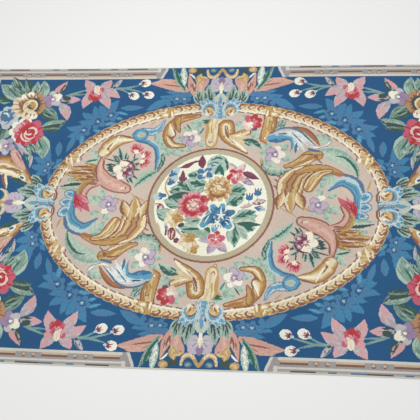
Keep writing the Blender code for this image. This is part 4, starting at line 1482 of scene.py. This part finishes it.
def rim_path(inset, spacing):
    """Even points round the true rectangle, inset by some metres, with the outward direction at each."""
    half_x, half_y = LENGTH / 2 - COLUMN_DRIFT - CORNER_RADIUS, WIDTH / 2 - ROW_DRIFT - CORNER_RADIUS
    radius = CORNER_RADIUS - inset
    points = []
    for sx, sy, first in ((1, -1, -90), (1, 1, 0), (-1, 1, 90), (-1, -1, 180)):
        points += arc(sx * half_x, sy * half_y, radius, first, first + 90, 13)
    points = np.array(points + points[:1])
    gone = np.concatenate([[0], np.cumsum(np.hypot(*np.diff(points, axis=0).T))])
    count = int(gone[-1] / spacing) // STEPS_PER_WRAP * STEPS_PER_WRAP
    at = np.arange(count) * gone[-1] / count
    x, y = np.interp(at, gone, points[:, 0]), np.interp(at, gone, points[:, 1])
    ahead = np.roll(np.stack([x, y], axis=1), -1, axis=0) - np.roll(np.stack([x, y], axis=1), 1, axis=0)
    ahead /= np.hypot(*ahead.T)[:, None]
    return x, y, ahead[:, 1], -ahead[:, 0]


def edge_whipping(material):
    """The roll of yarn wrapped round the rim."""
    x, y, out_x, out_y = rim_path(ROLL_HALF_WIDTH, WRAP_PITCH / STEPS_PER_WRAP)
    count = len(x)
    turns = np.arange(ROLL_SIDES) * 2 * math.pi / ROLL_SIDES
    wrap = np.arange(count)[:, None] / STEPS_PER_WRAP + WRAP_SLANT * np.sin(turns)
    swell = 1 - WRAP_DEPTH * (0.5 - 0.5 * np.cos(2 * math.pi * wrap))
    reach = ROLL_HALF_WIDTH * np.cos(turns) * swell
    px, py = drifted(x[:, None] + out_x[:, None] * reach, y[:, None] + out_y[:, None] * reach)
    pz = ROLL_HALF_HEIGHT * (1 + np.sin(turns) * swell)
    points = np.stack([px, py, pz], axis=-1).reshape(-1, 3)
    ring = np.arange(count)[:, None] * ROLL_SIDES
    side, next_side = np.arange(ROLL_SIDES), (np.arange(ROLL_SIDES) + 1) % ROLL_SIDES
    next_ring = (ring + ROLL_SIDES) % (count * ROLL_SIDES)
    quads = np.stack([ring + side, next_ring + side, next_ring + next_side, ring + next_side],
                     axis=-1).reshape(-1, 4)
    piece = new_piece("edge_whipping", points, quads, material)
    piece.data.shade_smooth()
    return piece


def plain_cloth(name, srgb):
    """A matt cloth of one plain 0-255 colour."""
    material = bpy.data.materials.new(name)
    material.use_nodes = True
    shader = material.node_tree.nodes["Principled BSDF"]
    shader.inputs["Base Color"].default_value = (*(float(value) for value in to_linear(srgb)), 1)
    shader.inputs["Roughness"].default_value = 0.9
    shader.inputs["Specular IOR Level"].default_value = 0.2
    return material


whipping = edge_whipping(plain_cloth("whipping_wool", (222, 218, 205)))
print("whipping triangles:", 2 * len(whipping.data.polygons))

# %% [markdown]
# ## The canvas
#
# The cotton canvas under the stitches, its raw edge turned in as a hem all round the underside. It is a
# thin closed sheet, a millimetre thinner inside the hem.

# %% Canvas and its turned-in hem
HEM = 0.030
HEM_STEP = 0.0008
CANVAS_TOP = 0.0036
CANVAS_GRID = 0.05


def hemmed_lines(half):
    """Grid lines from edge to edge, with a close pair where the hem ends."""
    inner = np.linspace(-(half - HEM - HEM_STEP), half - HEM - HEM_STEP, int(2 * half / CANVAS_GRID))
    return np.concatenate([[-half, -(half - HEM)], inner, [half - HEM, half]])


def canvas_back(material):
    """The closed canvas sheet with its hem."""
    half_x, half_y = LENGTH / 2 - COLUMN_DRIFT - ROLL_HALF_WIDTH, WIDTH / 2 - ROW_DRIFT - ROLL_HALF_WIDTH
    gx, gy = np.meshgrid(hemmed_lines(half_x), hemmed_lines(half_y))
    in_hem = (np.abs(gx) > half_x - HEM - HEM_STEP / 2) | (np.abs(gy) > half_y - HEM - HEM_STEP / 2)
    x, y = drifted(gx, gy)
    top = np.stack([x, y, np.full_like(x, CANVAS_TOP)], axis=-1).reshape(-1, 3)
    under = np.stack([x, y, np.where(in_hem, 0.0, HEM_STEP)], axis=-1).reshape(-1, 3)
    rows, columns = gx.shape
    quads = grid_quads(rows, columns)
    number = np.arange(rows * columns).reshape(rows, columns)
    rim = np.concatenate([number[0, :-1], number[:-1, -1], number[-1, :0:-1], number[:0:-1, 0]])
    after = np.roll(rim, -1)
    sides = np.stack([rim, after, after + len(top), rim + len(top)][::-1], axis=-1)
    return new_piece("canvas_back", np.concatenate([top, under]),
                     np.concatenate([quads, quads[:, ::-1] + len(top), sides]), material)


canvas = canvas_back(plain_cloth("cotton_canvas", (206, 196, 172)))
print("canvas triangles:", 2 * len(canvas.data.polygons))

# %% [markdown]
# ## One cloth
#
# Stitches, edge and canvas are one rug and move with it.

# %% Tie the pieces to the rug
for piece in (*panels, whipping, canvas):
    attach(piece, "root")
    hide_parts("rug")
print("pieces:", len(panels) + 2)

# %% [markdown]
# ## Studio
#
# A pale floor, an even white sky and one soft lamp over the middle, so that the wools show their own
# colours and the corners fall off a little.

# %% Floor, light and camera
CAMERA_AT = Vector((0.5186, -1.6990, 3.3832))
CAMERA_AIM = Vector((-0.0063, -0.0253, 0.0))
CAMERA_ROLL = -14.711
LENS_MM = 70.3
FLOOR_HALF = 9
FLOOR_Z = -0.0004
SKY_STRENGTH = 0.61
LAMP_AT = Vector((-0.2, 0.5, 3.0))
LAMP_SIZE = 1.4
LAMP_WATTS = 37

corners = [(FLOOR_HALF * x, FLOOR_HALF * y, FLOOR_Z) for x, y in ((-1, -1), (1, -1), (1, 1), (-1, 1))]
floor = new_piece("floor", corners, [(0, 1, 2, 3)], plain_cloth("floor_paper", (247, 247, 246)))

world = bpy.context.scene.world or bpy.data.worlds.new("studio")
bpy.context.scene.world = world
world.use_nodes = True
world.node_tree.nodes["Background"].inputs["Color"].default_value = (1, 1, 1, 1)
world.node_tree.nodes["Background"].inputs["Strength"].default_value = SKY_STRENGTH

lamp_data = bpy.data.lights.new("soft_lamp", "AREA")
lamp_data.shape = "DISK"
lamp_data.size = LAMP_SIZE
lamp_data.energy = LAMP_WATTS
lamp = bpy.data.objects.new("soft_lamp", lamp_data)
lamp.location = LAMP_AT
lamp.rotation_euler = (-LAMP_AT).to_track_quat("-Z", "Y").to_euler()
bpy.context.scene.collection.objects.link(lamp)

camera_data = bpy.data.cameras.new("camera")
camera_data.lens = LENS_MM
camera_data.sensor_width = 36
camera = bpy.data.objects.new("camera", camera_data)
camera.location = CAMERA_AT
aim = (CAMERA_AIM - CAMERA_AT).to_track_quat("-Z", "Y")
camera.rotation_euler = (aim @ Quaternion((0, 0, 1), math.radians(CAMERA_ROLL))).to_euler()
bpy.context.scene.collection.objects.link(camera)
bpy.context.scene.camera = camera
bpy.context.scene.view_settings.view_transform = "Standard"
print("camera, m from its aim:", round((CAMERA_AT - CAMERA_AIM).length, 2))
